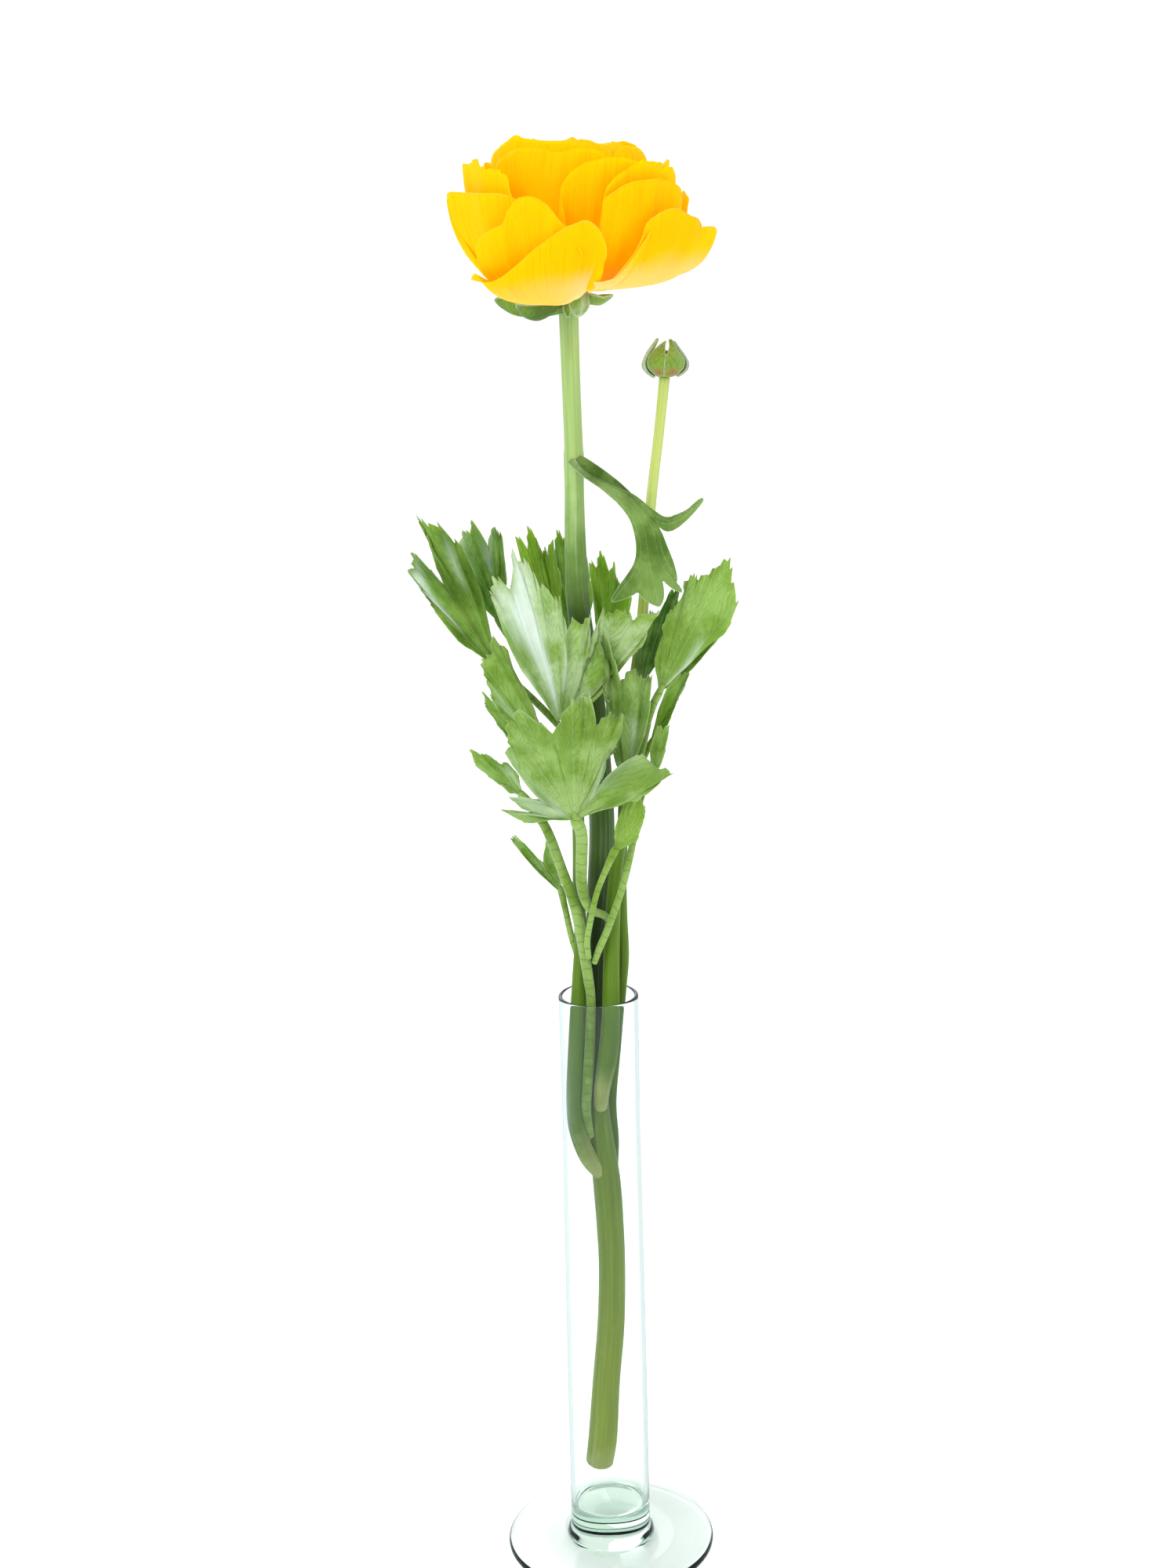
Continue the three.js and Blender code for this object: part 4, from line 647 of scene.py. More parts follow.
def turned(profile, sides):
    """A closed solid of revolution about Z: the profile (radius, height) goes from the axis out and round
    and back to the axis, and each of its points becomes a ring, or a pole where it meets the axis."""
    profile = np.asarray(profile, float)
    radius, height = profile[1:-1, :1], profile[1:-1, 1:]
    angle = round_turn(sides)
    rings = np.stack([radius * np.cos(angle), radius * np.sin(angle), height + 0 * angle], -1)
    return closed_rings(rings, [[0, 0, profile[0, 1]], [0, 0, profile[-1, 1]]], {}, other_way=True)


def hairs(points, directions, reach, root_radius, seed):
    """Fine hairs: three-sided spikes that stand on the points along the directions, each bent a little at
    random and with a random share of the reach."""
    rng = np.random.default_rng(seed)
    count = len(points)
    ahead = unit(directions + rng.normal(0, 0.35, (count, 3)))
    side = unit(np.cross(ahead, rng.normal(0, 1, (count, 3))))
    up = np.cross(side, ahead)
    tall = reach * rng.uniform(0.4, 1.0, (count, 1))
    angle = round_turn(3)[None, :, None]
    ring = np.cos(angle) * side[:, None] + np.sin(angle) * up[:, None]
    foot = points[:, None] - 0.1 * ahead[:, None] + root_radius * ring
    knee = (points + 0.55 * tall * ahead)[:, None] + 0.75 * root_radius * ring
    tip = points + tall * unit(ahead + rng.normal(0, 0.25, (count, 3)))
    corners = np.concatenate([foot, knee, tip[:, None]], 1).reshape(-1, 3)
    walls = np.array([[0, 3, 4, 1], [1, 4, 5, 2], [2, 5, 3, 0]])
    ends = np.array([[0, 1, 2], [3, 6, 4], [4, 6, 5], [5, 6, 3]])
    start = 7 * np.arange(count)[:, None, None]
    return {"points": corners, "quads": (walls + start).reshape(-1, 4),
            "tris": (ends + start).reshape(-1, 3), "marks": {"hair": np.ones(len(corners))}}


def spread_over(shape, count, seed, weight=None):
    """Points and outward directions at random on a shape's four-sided faces, with a chance that follows
    each face's area times its weight."""
    rng = np.random.default_rng(seed)
    corners = shape["points"][shape["quads"]]
    cross = np.cross(corners[:, 2] - corners[:, 0], corners[:, 3] - corners[:, 1])
    area = np.linalg.norm(cross, axis=1)
    chance = area if weight is None else area * weight(corners.mean(1))
    pick = rng.choice(len(area), count, p=chance / chance.sum())
    share = rng.uniform(0, 1, (count, 2, 1))
    low = corners[pick, 0] * (1 - share[:, 0]) + corners[pick, 1] * share[:, 0]
    high = corners[pick, 3] * (1 - share[:, 0]) + corners[pick, 2] * share[:, 0]
    return low * (1 - share[:, 1]) + high * share[:, 1], unit(cross[pick])


def with_hairs(shapes, kind):
    """The shapes, and on each of them hairs of a kind that HAIRS gives."""
    count, reach, root_radius, place_seed, bend_seed = HAIRS[kind]
    return shapes + [
        hairs(*spread_over(shape, count, place_seed + k), reach, root_radius, bend_seed + k)
        for k, shape in enumerate(shapes)]


def make_piece(name, shapes, material, nodes):
    """Joins closed shapes into one mesh object in metres, with their marks as attributes, and hands it
    to the frame: it rides on the root body and replaces the named CAD nodes."""
    offsets = np.cumsum([0] + [len(shape["points"]) for shape in shapes])
    faces = []
    for shape, offset in zip(shapes, offsets):
        for kind in ("quads", "tris"):
            faces.extend((shape[kind] + offset).tolist() if kind in shape else [])
    mesh = bpy.data.meshes.new(name)
    mesh.from_pydata(np.concatenate([shape["points"] for shape in shapes]) * MM, [], faces)
    for mark in sorted({mark for shape in shapes for mark in shape["marks"]}):
        values = np.concatenate([
            shape["marks"].get(mark, np.zeros(len(shape["points"]))) for shape in shapes])
        mesh.attributes.new(mark, "FLOAT", "POINT").data.foreach_set("value", values.astype(np.float32))
    mesh.polygons.foreach_set("use_smooth", np.ones(len(mesh.polygons), bool))
    mesh.materials.append(material)
    mesh.validate()
    piece = bpy.data.objects.new(name, mesh)
    bpy.context.scene.collection.objects.link(piece)
    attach(piece, "root")
    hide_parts(*nodes)


def wire(tree, kind, inputs=(), **settings):
    """A node with its settings, and its inputs given by name or number as values or as other sockets."""
    node = tree.nodes.new(kind)
    for key, value in settings.items():
        setattr(node, key, value)
    for key, value in dict(inputs).items():
        if isinstance(value, bpy.types.NodeSocket):
            tree.links.new(value, node.inputs[key])
        else:
            node.inputs[key].default_value = value
    return node


def math_node(tree, operation, *values, clamp=False):
    """The result of one arithmetic step."""
    return wire(tree, "ShaderNodeMath", enumerate(values), operation=operation, use_clamp=clamp).outputs[0]


def times(tree, result, *factors, clamp=False):
    """The product of masks and numbers."""
    for factor in factors:
        result = math_node(tree, "MULTIPLY", result, factor, clamp=clamp)
    return result


def scaled(tree, value, factor, offset, clamp=False):
    """A value times a factor, plus an offset."""
    return math_node(tree, "MULTIPLY_ADD", value, factor, offset, clamp=clamp)


def mix_colours(tree, factor, first, second):
    """Two colours mixed by a mask."""
    colours = [value if isinstance(value, bpy.types.NodeSocket) else (*tuple(value)[:3], 1.0)
               for value in (first, second)]
    return wire(tree, "ShaderNodeMix", {0: factor, 6: colours[0], 7: colours[1]}, data_type="RGBA").outputs[2]


def lay(tree, base, paint, *masks, strength=None):
    """A colour laid over another by the product of its masks and its strength."""
    masks = masks if strength is None else (*masks, strength)
    return mix_colours(tree, times(tree, *masks), base, paint)


def ramp(tree, factor, stops):
    """A colour that moves from stop to stop (position, colour) as the factor grows."""
    node = wire(tree, "ShaderNodeValToRGB", {"Fac": factor})
    elements = node.color_ramp.elements
    for _ in stops[2:]:
        elements.new(0.5)
    for element, (position, value) in zip(elements, stops):
        element.position = position
        element.color = (*tuple(value)[:3], 1.0)
    return node.outputs[0]


def mark(tree, name):
    """One of the mesh's own values."""
    return wire(tree, "ShaderNodeAttribute", attribute_name=name).outputs["Fac"]


def place_on(tree, kind="Object"):
    """The place on the object, or another of the texture coordinates."""
    return wire(tree, "ShaderNodeTexCoord").outputs[kind]


def parts_of(tree, vector):
    """The X, Y and Z of a vector."""
    return wire(tree, "ShaderNodeSeparateXYZ", {0: vector}).outputs


def step_between(tree, value, low, high):
    """A smooth mask: 0 where value is low, 1 where it is high."""
    return wire(tree, "ShaderNodeMapRange", {"Value": value, "From Min": low, "From Max": high},
                interpolation_type="SMOOTHSTEP").outputs[0]


def noise(tree, place, scale, detail, roughness=0.5):
    """Noise from 0 to 1 over a place, with its scale in cells per metre."""
    return wire(tree, "ShaderNodeTexNoise", {
        "Vector": place, "Scale": scale, "Detail": detail, "Roughness": roughness}).outputs[0]


def new_group(name, inputs, outputs):
    """An empty shader node group with float inputs (name, default) and float outputs."""
    group = bpy.data.node_groups.new(name, "ShaderNodeTree")
    for title, default in inputs:
        socket = group.interface.new_socket(name=title, in_out="INPUT", socket_type="NodeSocketFloat")
        socket.default_value = default
    for title in outputs:
        group.interface.new_socket(name=title, in_out="OUTPUT", socket_type="NodeSocketFloat")
    return group, group.nodes.new("NodeGroupInput").outputs, group.nodes.new("NodeGroupOutput").inputs


def place_group(tree, builder, inputs=()):
    """Sets a shared node group in a material with its own values. It is built once, by the function
    that has its name."""
    name = builder.__name__.replace("_", " ")
    group = bpy.data.node_groups.get(name) or builder(name)
    return wire(tree, "ShaderNodeGroup", inputs, node_tree=group).outputs


def plant_tissue(name):
    """Plant tissue: broad patches and fine grain from noise at the scales given in cells per metre."""
    group, given, result = new_group(name, [("Patches", 90.0), ("Grain", 1400.0)], ["Patch", "Height"])
    place = place_on(group)
    group.links.new(noise(group, place, given["Patches"], 4.0, 0.6), result["Patch"])
    group.links.new(noise(group, place, given["Grain"], 3.0, 0.6), result["Height"])
    return group


def leaf_veins(name):
    """Leaf veins from the marks "rib" (millimetres from the nearest midrib) and "along" (millimetres from
    the base): a line on each midrib, and side veins that leave it forwards at a pitch that noise varies."""
    group, given, result = new_group(
        name, [("Pitch", 3.0), ("Midrib", 0.16), ("Side", 0.1)], ["Midribs", "Sides"])
    rib = mark(group, "rib")
    midrib = step_between(group, rib, times(group, given["Midrib"], 2.2), given["Midrib"])
    shift = noise(group, place_on(group), 180.0, 2.0)
    lean = scaled(group, shift, 5.0, scaled(group, rib, -1.7, mark(group, "along")))
    wave = math_node(group, "FRACT", math_node(group, "DIVIDE", lean, given["Pitch"]))
    off = math_node(group, "ABSOLUTE", math_node(group, "SUBTRACT", wave, 0.5))
    side = step_between(group, times(group, off, given["Pitch"]), times(group, given["Side"], 2.6),
                        given["Side"])
    group.links.new(midrib, result["Midribs"])
    group.links.new(side, result["Sides"])
    return group


def long_streaks(name):
    """Fine lines that run along a petal or stem: noise over the marks "turn" (round or across) and
    "along" (millimetres), pulled out lengthwise."""
    group, given, result = new_group(name, [("Across", 60.0), ("Along", 0.05)], ["Streaks"])
    place = wire(group, "ShaderNodeCombineXYZ", {
        "X": times(group, mark(group, "turn"), given["Across"]),
        "Y": times(group, mark(group, "along"), given["Along"])}).outputs[0]
    group.links.new(noise(group, place, 1.0, 3.0, 0.6), result["Streaks"])
    return group


def blank_material(name):
    """A material with an empty node tree, and that tree."""
    material = bpy.data.materials.new(name)
    material.use_nodes = True
    material.node_tree.nodes.clear()
    return material, material.node_tree


def finish_material(tree, height=None, bump=0.0, **inputs):
    """Completes a material: a shader with the inputs named, as sockets or constants, and relief of a
    height. The output node is returned."""
    named = {key.replace("_", " "): value for key, value in inputs.items()}
    if height is not None:
        relief = wire(tree, "ShaderNodeBump", {"Height": height, "Strength": bump, "Distance": BUMP_DEPTH})
        named["Normal"] = relief.outputs["Normal"]
    shader = wire(tree, "ShaderNodeBsdfPrincipled", named)
    return wire(tree, "ShaderNodeOutputMaterial", {"Surface": shader.outputs[0]})


def petal_material(settings):
    """Yellow petals: warmer in long fine lines, with painted shade deep between the folds near the roots,
    cream and then green towards the roots of the outer ones, and cream low down on their outsides. The
    bounds of the painted shade, the cream and the green are millimetres from the root, and those of the low
    cream are heights in metres. A weak glow stands for the light that passes through many thin petals."""
    material, tree = blank_material("ranunculus petal")
    tissue = place_group(tree, plant_tissue, {"Patches": 70.0, "Grain": 900.0})
    streaks = place_group(tree, long_streaks, {"Across": 42.0, "Along": 0.05})[0]
    pale = times(tree, mark(tree, "pale"), mark(tree, "face"))
    patch = scaled(tree, tissue["Patch"], 9.0, -4.5)
    place = math_node(tree, "ADD", mark(tree, "along"), patch)
    base = lay(tree, settings.petal, settings.fold, step_between(tree, streaks, 0.45, 0.7), strength=0.45)
    # Painted shade: the fold colour deep between the petals, near their roots.
    base = lay(tree, base, settings.fold, step_between(tree, place, 28.0, 10.0), strength=0.1)
    spot = parts_of(tree, place_on(tree))
    leaning = scaled(tree, spot["X"], -0.14, spot["Z"])
    low = step_between(tree, scaled(tree, patch, 0.0008, leaning), 0.4105, 0.4035)
    cream = math_node(tree, "MAXIMUM", step_between(tree, place, 30.0, 20.0), low)
    base = lay(tree, base, settings.cream, cream, pale)
    edge = step_between(tree, mark(tree, "rim"), 0.9, 0.1)
    base = lay(tree, base, settings.cream, edge, pale, strength=0.14)
    base = lay(tree, base, settings.root, step_between(tree, place, 15.0, 5.0), pale)
    finish_material(tree, height=scaled(tree, tissue["Height"], 0.35, streaks), bump=0.3, Base_Color=base,
                    Roughness=0.7, Subsurface_Weight=0.6, Subsurface_Radius=(0.0015, 0.0008, 0.0001),
                    Subsurface_Scale=1.0, Specular_IOR_Level=0.03, Emission_Color=base,
                    Emission_Strength=0.34)
    return material


def leaf_material(settings):
    """Leaf: dark to light by the mark "tone", which is partly painted shade, yellow by "warm", partly as
    painted light that shines through, hoary by "silver", partly as a painted highlight, with painted
    highlight bands by a mark of their own, lighter on its under face, with fine veins, long streaks and a
    light margin."""
    material, tree = blank_material("ranunculus leaf")
    tissue = place_group(tree, plant_tissue, {"Patches": 75.0, "Grain": 1500.0})
    veins = place_group(tree, leaf_veins)
    streaks = place_group(tree, long_streaks, {"Across": 8.0, "Along": 0.1})[0]
    spots = scaled(tree, step_between(tree, tissue["Patch"], 0.36, 0.64), 0.4, -0.24)
    vary = math_node(tree, "ADD", scaled(tree, streaks, 0.16, -0.08), spots)
    # The tone is partly painted shade: it is set low on leaves that lie behind others.
    tone = math_node(tree, "ADD", mark(tree, "tone"), vary)
    tone = scaled(tree, mark(tree, "under"), 0.1, tone, clamp=True)
    base = mix_colours(tree, tone, settings.dark, settings.light)
    # Yellow green, partly painted light that shines through the leaf.
    base = lay(tree, base, settings.warm, mark(tree, "warm"), scaled(tree, tone, 0.5, 0.35))
    # Hoary patches, partly a painted highlight.
    hoary = step_between(tree, tissue["Patch"], 0.4, 0.62)
    base = lay(tree, base, settings.silver, mark(tree, "silver"), hoary)
    base = lay(tree, base, settings.dark, veins["Sides"], strength=0.35)
    # Painted highlight: pale bands laid over the blade by their own mark.
    highlight_band = times(tree, mark(tree, "sheen"), scaled(tree, streaks, 0.6, 0.55), clamp=True)
    base = lay(tree, base, settings.sheen, highlight_band)
    base = lay(tree, base, settings.silver, veins["Midribs"], strength=0.1)
    fuzz = mark(tree, "fuzz")
    margin = step_between(tree, mark(tree, "rim"), 0.34, 0.08)
    base = lay(tree, base, settings.silver, margin, scaled(tree, fuzz, 0.6, 0.25))
    edge = wire(tree, "ShaderNodeLayerWeight", {"Blend": 0.25}).outputs["Facing"]
    base = lay(tree, base, settings.silver, math_node(tree, "POWER", edge, 2.0), fuzz)
    base = lay(tree, base, settings.silver, mark(tree, "hair"))
    base = lay(tree, base, settings.blush, mark(tree, "blush"))
    height = scaled(tree, veins["Midribs"], -0.4, scaled(tree, veins["Sides"], -0.5, tissue["Height"]))
    finish_material(tree, height=height, bump=0.5, Base_Color=base, Roughness=0.45, Subsurface_Weight=0.2,
                    Subsurface_Radius=(0.0012, 0.0022, 0.0003), Subsurface_Scale=1.0,
                    Specular_IOR_Level=0.22)
    return material


def stem_material(name, stops, line, fuzz):
    """Stem: its colour moves along the stops (share of STEM_SPAN from its start, colour), with fine dark
    and light lines lengthwise and a pale fuzz where it turns away."""
    material, tree = blank_material(name)
    tissue = place_group(tree, plant_tissue, {"Patches": 70.0, "Grain": 1300.0})
    streaks = place_group(tree, long_streaks, {"Across": 22.0, "Along": 0.02})[0]
    patch = scaled(tree, tissue["Patch"], 0.1, -0.05)
    share = math_node(tree, "DIVIDE", mark(tree, "along"), STEM_SPAN)
    base = ramp(tree, math_node(tree, "ADD", share, patch), stops)
    base = lay(tree, base, line, step_between(tree, streaks, 0.6, 0.35), strength=0.22)
    base = lay(tree, base, fuzz, step_between(tree, streaks, 0.55, 0.75), strength=0.16)
    edge = wire(tree, "ShaderNodeLayerWeight", {"Blend": 0.2}).outputs["Facing"]
    base = lay(tree, base, fuzz, math_node(tree, "POWER", edge, 3.0), strength=0.8)
    base = lay(tree, base, fuzz, mark(tree, "hair"))
    finish_material(tree, height=scaled(tree, tissue["Height"], 0.6, streaks), bump=0.45, Base_Color=base,
                    Roughness=0.45, Subsurface_Weight=0.12, Subsurface_Radius=(0.0015, 0.003, 0.0005),
                    Subsurface_Scale=1.0, Specular_IOR_Level=0.25)
    return material


def glass_material(settings):
    """Clear glass with a faint green tint that deepens with its thickness."""
    material, tree = blank_material("clear glass")
    waves = place_group(tree, plant_tissue, {"Patches": 25.0, "Grain": 40.0})["Patch"]
    output = finish_material(tree, height=waves, bump=0.05, Base_Color=(*settings.tint, 1.0), Roughness=0.0,
                             Transmission_Weight=1.0, IOR=1.38, Specular_IOR_Level=0.05)
    depth = wire(tree, "ShaderNodeVolumeAbsorption", {
        "Color": (*settings.depth, 1.0), "Density": GLASS_DENSITY})
    tree.links.new(depth.outputs[0], output.inputs["Volume"])
    return material


def leaf_marks(shape, tone=0.5, warm=0.3, silver=0.1, fuzz=0.2):
    """Adds the leaf material's constant marks to a shape, where it has none."""
    marks = dict(tone=tone, warm=warm, silver=silver, fuzz=fuzz, rim=9.0, rib=3.0, under=0.0)
    for name, value in marks.items():
        shape["marks"].setdefault(name, np.full(len(shape["points"]), float(value)))
    return shape


def rib_spacing(grid, t):
    """How wide the step from rib to rib is at each point of a blade, in millimetres. t counts the ribs."""
    return np.linalg.norm(np.gradient(grid, t, axis=1), axis=-1)


def leaf_blade(leaf, thickness, per_tip=24, rows=30):
    """A leaf's blade as a fan of midribs. Between tips the rib's end and bend are blended smoothly.
    A rib is a quadratic curve from the base, and a point lies the share "along" of the way up it. The
    margin falls from each tip to the notches beside it as the power MARGIN_POWER of the way to them, with
    a short point on each tip, and is cut into a saw of fine teeth. Each lobe is folded up a little from its
    midrib, and the margin waves."""
    base = np.array(leaf["base"], float)
    ribs = [(*leaf["before"], 0), *leaf["tips"], (*leaf["after"], 0)]
    ends = np.array([rib[:3] for rib in ribs], float)
    bends = (base + ends) / 2 + np.array(leaf["bow"], float)
    count = len(leaf["tips"])
    notches = np.array([FIRST_NOTCH, *(tip[3] for tip in leaf["tips"])])
    notches = np.where(notches > FINE_NOTCH, 0.2 + 0.8 * notches, notches)
    t = np.linspace(0.5, count + 0.5, count * per_tip + 1)
    own = np.clip(np.round(t), 1, count).astype(int)
    side = 2 * (t - own)
    cut = np.where(side < 0, notches[own - 1], notches[own])
    way = np.minimum(np.abs(side), 1)
    reach = cut + (1 - cut) * (0.9 * (1 - way ** MARGIN_POWER) + 0.1 * np.exp(-7 * way) * (1 - way))
    share = np.linspace(0, 1, rows)[:, None]
    saw = np.mod(2.7 * t + 0.5 * np.sin(3.1 * t), 1)
    along = (MARGIN_START + (1 - MARGIN_START) * share) * reach * (1 - TOOTH * saw * share ** 9)
    a = along[..., None]
    end = smooth_curve(ends, t)
    grid = (1 - a) ** 2 * base + 2 * a * (1 - a) * smooth_curve(bends, t) + a * a * end
    rib_length = np.linalg.norm(end - base, axis=-1)
    spacing = rib_spacing(grid, t)
    fold = FOLD * spacing * (0.5 - 0.5 * np.cos(np.pi * side)) * smoothstep(0, 0.35, share)
    wave = leaf["wave"] * np.sin(2 * np.pi * (0.55 * t + 1.3 * share) + leaf["tone"] * 9) * share ** 2
    grid = grid + grid_normals(grid) * (wave + np.minimum(fold, FOLD_LIMIT))[..., None]
    # Painted highlight bands: pale bands along the ribs, each a bell curve across them.
    sheen = np.zeros(along.shape)
    for middle, lean, width, first, last, strength in leaf["sheen"]:
        middle = middle + lean * (1 - share) + 0.25 * np.sin(7 * share)
        highlight_band = np.exp(-((t - middle) / width) ** 2)
        window = smoothstep(first - 0.12, first + 0.05, share) * smoothstep(last + 0.1, last - 0.12, share)
        sheen = np.maximum(sheen, strength * highlight_band * window)
    taper = thickness * (0.4 + 0.6 * smoothstep(0, 0.12, 1 - share))
    shape = sheet(grid, taper, {
        "rib": spacing * np.abs(t - own), "along": along * rib_length,
        "rim": (1 - share) * reach * rib_length, "turn": t, "sheen": sheen})
    facing = grid_normals(grid)[..., 1].mean() < 0
    under_first = facing == (leaf["front"] == "under")
    face = shape["marks"].pop("face")
    shape["marks"]["under"] = face if under_first else 1 - face
    return leaf_marks(shape, leaf["tone"], leaf["warm"], leaf["silver"])


def leaf_stalk(leaf):
    """The stalk, which runs a little way into the blade as its midrib."""
    base = np.array(leaf["base"], float)
    middle = np.mean([tip[:3] for tip in leaf["tips"]], axis=0)
    end = base + 0.13 * (middle - base)
    shape = tube([*leaf["stalk"], (*end, 0.3)], sides=14, steps=6, ridges=0.03)
    shape["marks"]["turn"] = shape["marks"]["turn"] * 2
    return leaf_marks(shape, tone=min(0.9, leaf["tone"] + 0.15), warm=leaf["warm"], silver=0.1, fuzz=1.0)


def ribbed_sheet(ribs, notches, thickness, columns, rows, look, blush=0.0, plain=0.0):
    """A blade whose ribs each run through as many points. Across, the ribs blend smoothly, and the margin
    falls from each rib to the notches beside it. look is its constant marks, blush is how red the middle
    is near its root, and a plain of 3 or more leaves out the lines on its ribs."""
    ribs = np.asarray(ribs, float)
    count, points = ribs.shape[:2]
    t = np.linspace(0, count - 1, columns)
    own = np.round(t).astype(int)
    way = np.minimum(np.abs(2 * (t - own)), 1)
    cut = np.array(notches)[np.clip(np.floor(t).astype(int), 0, count - 2)]
    reach = cut + (1 - cut) * (1 - way ** 1.1) ** 0.9
    share = np.linspace(0, 1, rows)[:, None] * reach
    across = smooth_curve(ribs.reshape(count, -1), t).reshape(columns, points, 3)
    weights = smooth_curve(np.eye(points), share * (points - 1))
    grid = np.einsum("rcp,cpx->rcx", weights, across)
    travelled = travelled_along(grid)
    spacing = rib_spacing(grid, t)
    red = smoothstep(0.27, 0.1, share) * smoothstep(0.0, 0.08, share)
    red = red * smoothstep(1.0, 0.1, np.abs(t - (count - 1) / 2))
    shape = sheet(grid, thickness, {
        "along": travelled,
        "rim": np.minimum(travelled[-1:] - travelled, spacing * np.minimum(t, count - 1 - t)),
        "rib": spacing * np.abs(t - own) + plain, "turn": 0.7 * t, "blush": blush * red})
    shape["marks"].pop("face")
    return leaf_marks(shape, **look)


def sepals_of(sepals, thickness, blush):
    """The sheets of a set of sepals, smooth from edge to edge, with light edges and a painted highlight
    line along each, which runs beside the middle as a bell curve of the place across."""
    shapes = []
    for sepal in sepals.values():
        look = dict(tone=sepal["tone"], warm=sepal["warm"], silver=sepal["silver"], fuzz=0.4)
        shape = ribbed_sheet(sepal["ribs"], [1.0, 1.0], thickness, 25, 34, look, blush, plain=3.0)
        marks = shape["marks"]
        marks["rim"] = marks["rim"] * sepal.get("edge", 0.4)
        # A painted highlight line beside the middle.
        marks["sheen"] = sepal.get("line", 0.35) * np.exp(-((marks["turn"] / 0.7 - 1.3) / 0.2) ** 2)
        shapes.append(shape)
    return shapes


def axis_at(height):
    """The point of the bloom's leaning axis at a height."""
    height = np.asarray(height, float)
    return np.stack([
        BLOOM_BASE[0] + BLOOM_LEAN * (height - BLOOM_BASE[2]), np.zeros_like(height), height], -1)


def petal_sheet(rim, belly, low, high, near, root, teeth, thickness, seed, far=1.0, lift=0, ease=(1, 1),
                pale=0, columns=80, rows=34):
    """A petal as a fan of cubic curves from its root to its free edge. Each curve leaves the bloom's
    axis low and outwards, swings out to the belly and turns up to the rim. Past the ease shares towards
    the petal's sides the curves straighten smoothly. teeth cut the edge back by seeded random shares at
    three sizes, and slow waves run across the blade."""
    rng = np.random.default_rng(seed)
    rim = np.asarray(rim, float)
    t = np.linspace(0, len(rim) - 1, columns)
    across = np.linspace(-1, 1, columns)[None, :]
    edge = smooth_curve(rim, t)
    outward = edge - axis_at(edge[:, 2])
    radius = np.linalg.norm(outward, axis=1, keepdims=True)
    outward = outward / radius
    rise = edge[:, 2] - BLOOM_BASE[2]
    reach = np.maximum(radius, belly)
    start = axis_at(np.full(columns, BLOOM_BASE[2] + root)) + outward * PETAL_START
    raised = lift * np.maximum(0, across[0] + 0.33)
    first = axis_at(BLOOM_BASE[2] + root + (low + raised) * rise) + outward * reach * near
    second = axis_at(BLOOM_BASE[2] + (high + raised) * rise) + outward * reach * far
    plain = (smoothstep(ease[0], 1.001, -across) + smoothstep(ease[1], 1.001, across)).T
    first = first + plain * (start + (edge - start) / 3 - first)
    second = second + plain * (start + (edge - start) / 1.5 - second)
    nick = 0
    for step, size in PETAL_NICKS:
        places = np.arange(0, t[-1] + step, step)
        nick = nick + np.abs(np.interp(t, places, rng.uniform(-1, 1, len(places)))) * size
    v = np.linspace(0, 1, rows)[:, None, None] * (1 - teeth * nick)[None, :, None]
    grid = (1 - v) ** 3 * start + 3 * v * (1 - v) ** 2 * first + 3 * v * v * (1 - v) * second + v ** 3 * edge
    share = v[..., 0]
    phase = rng.uniform(0, 2 * np.pi, 3)
    wave = (0.35 * np.sin(5 * across + phase[0] + 2 * share) + 0.2 * np.sin(11 * across + phase[1])
            + 0.12 * np.sin(23 * across + phase[2]))
    grid = grid + grid_normals(grid) * (wave * share ** 2)[..., None]
    travelled = travelled_along(grid)
    left, right = np.broadcast_to(pale, 2)
    return sheet(grid, thickness * (0.5 + 0.5 * smoothstep(0, 0.15, 1 - share)), {
        "along": travelled,
        "rim": np.minimum(travelled[-1:] - travelled, np.minimum(across + 1, 1 - across) * 12),
        "turn": across + seed,
        "pale": left + (right - left) * smoothstep(-0.5, 0.5, across)})


def round_rim(azimuth, half, top, fall, radius):
    """The free edge of a petal on a round: its angle runs half to each side of the azimuth, and it falls
    from the top by fall times the cube of the share of that angle."""
    share = np.linspace(-1, 1, 9)
    turn = np.radians(azimuth + half * share)
    height = top - fall * np.abs(share) ** 3
    return axis_at(height) + radius * np.stack([np.cos(turn), np.sin(turn), 0 * turn], -1)


def ball(centre, radius, half_height, sides=32, rings=16):
    """An egg about a point: radius times cosine, half height times sine."""
    rise = np.linspace(-np.pi / 2, np.pi / 2, rings)
    shape = turned(np.stack([radius * np.cos(rise), half_height * np.sin(rise)], -1), sides)
    shape["points"] = shape["points"] + np.asarray(centre)
    return shape


def rounded_corner(radius, height, size, first, last):
    """A rounded corner of a profile: an arc of a size about a point, from one angle to another."""
    angle = np.radians(np.linspace(first, last, 9))
    return np.stack([radius + size * np.cos(angle), height + size * np.sin(angle)], -1)


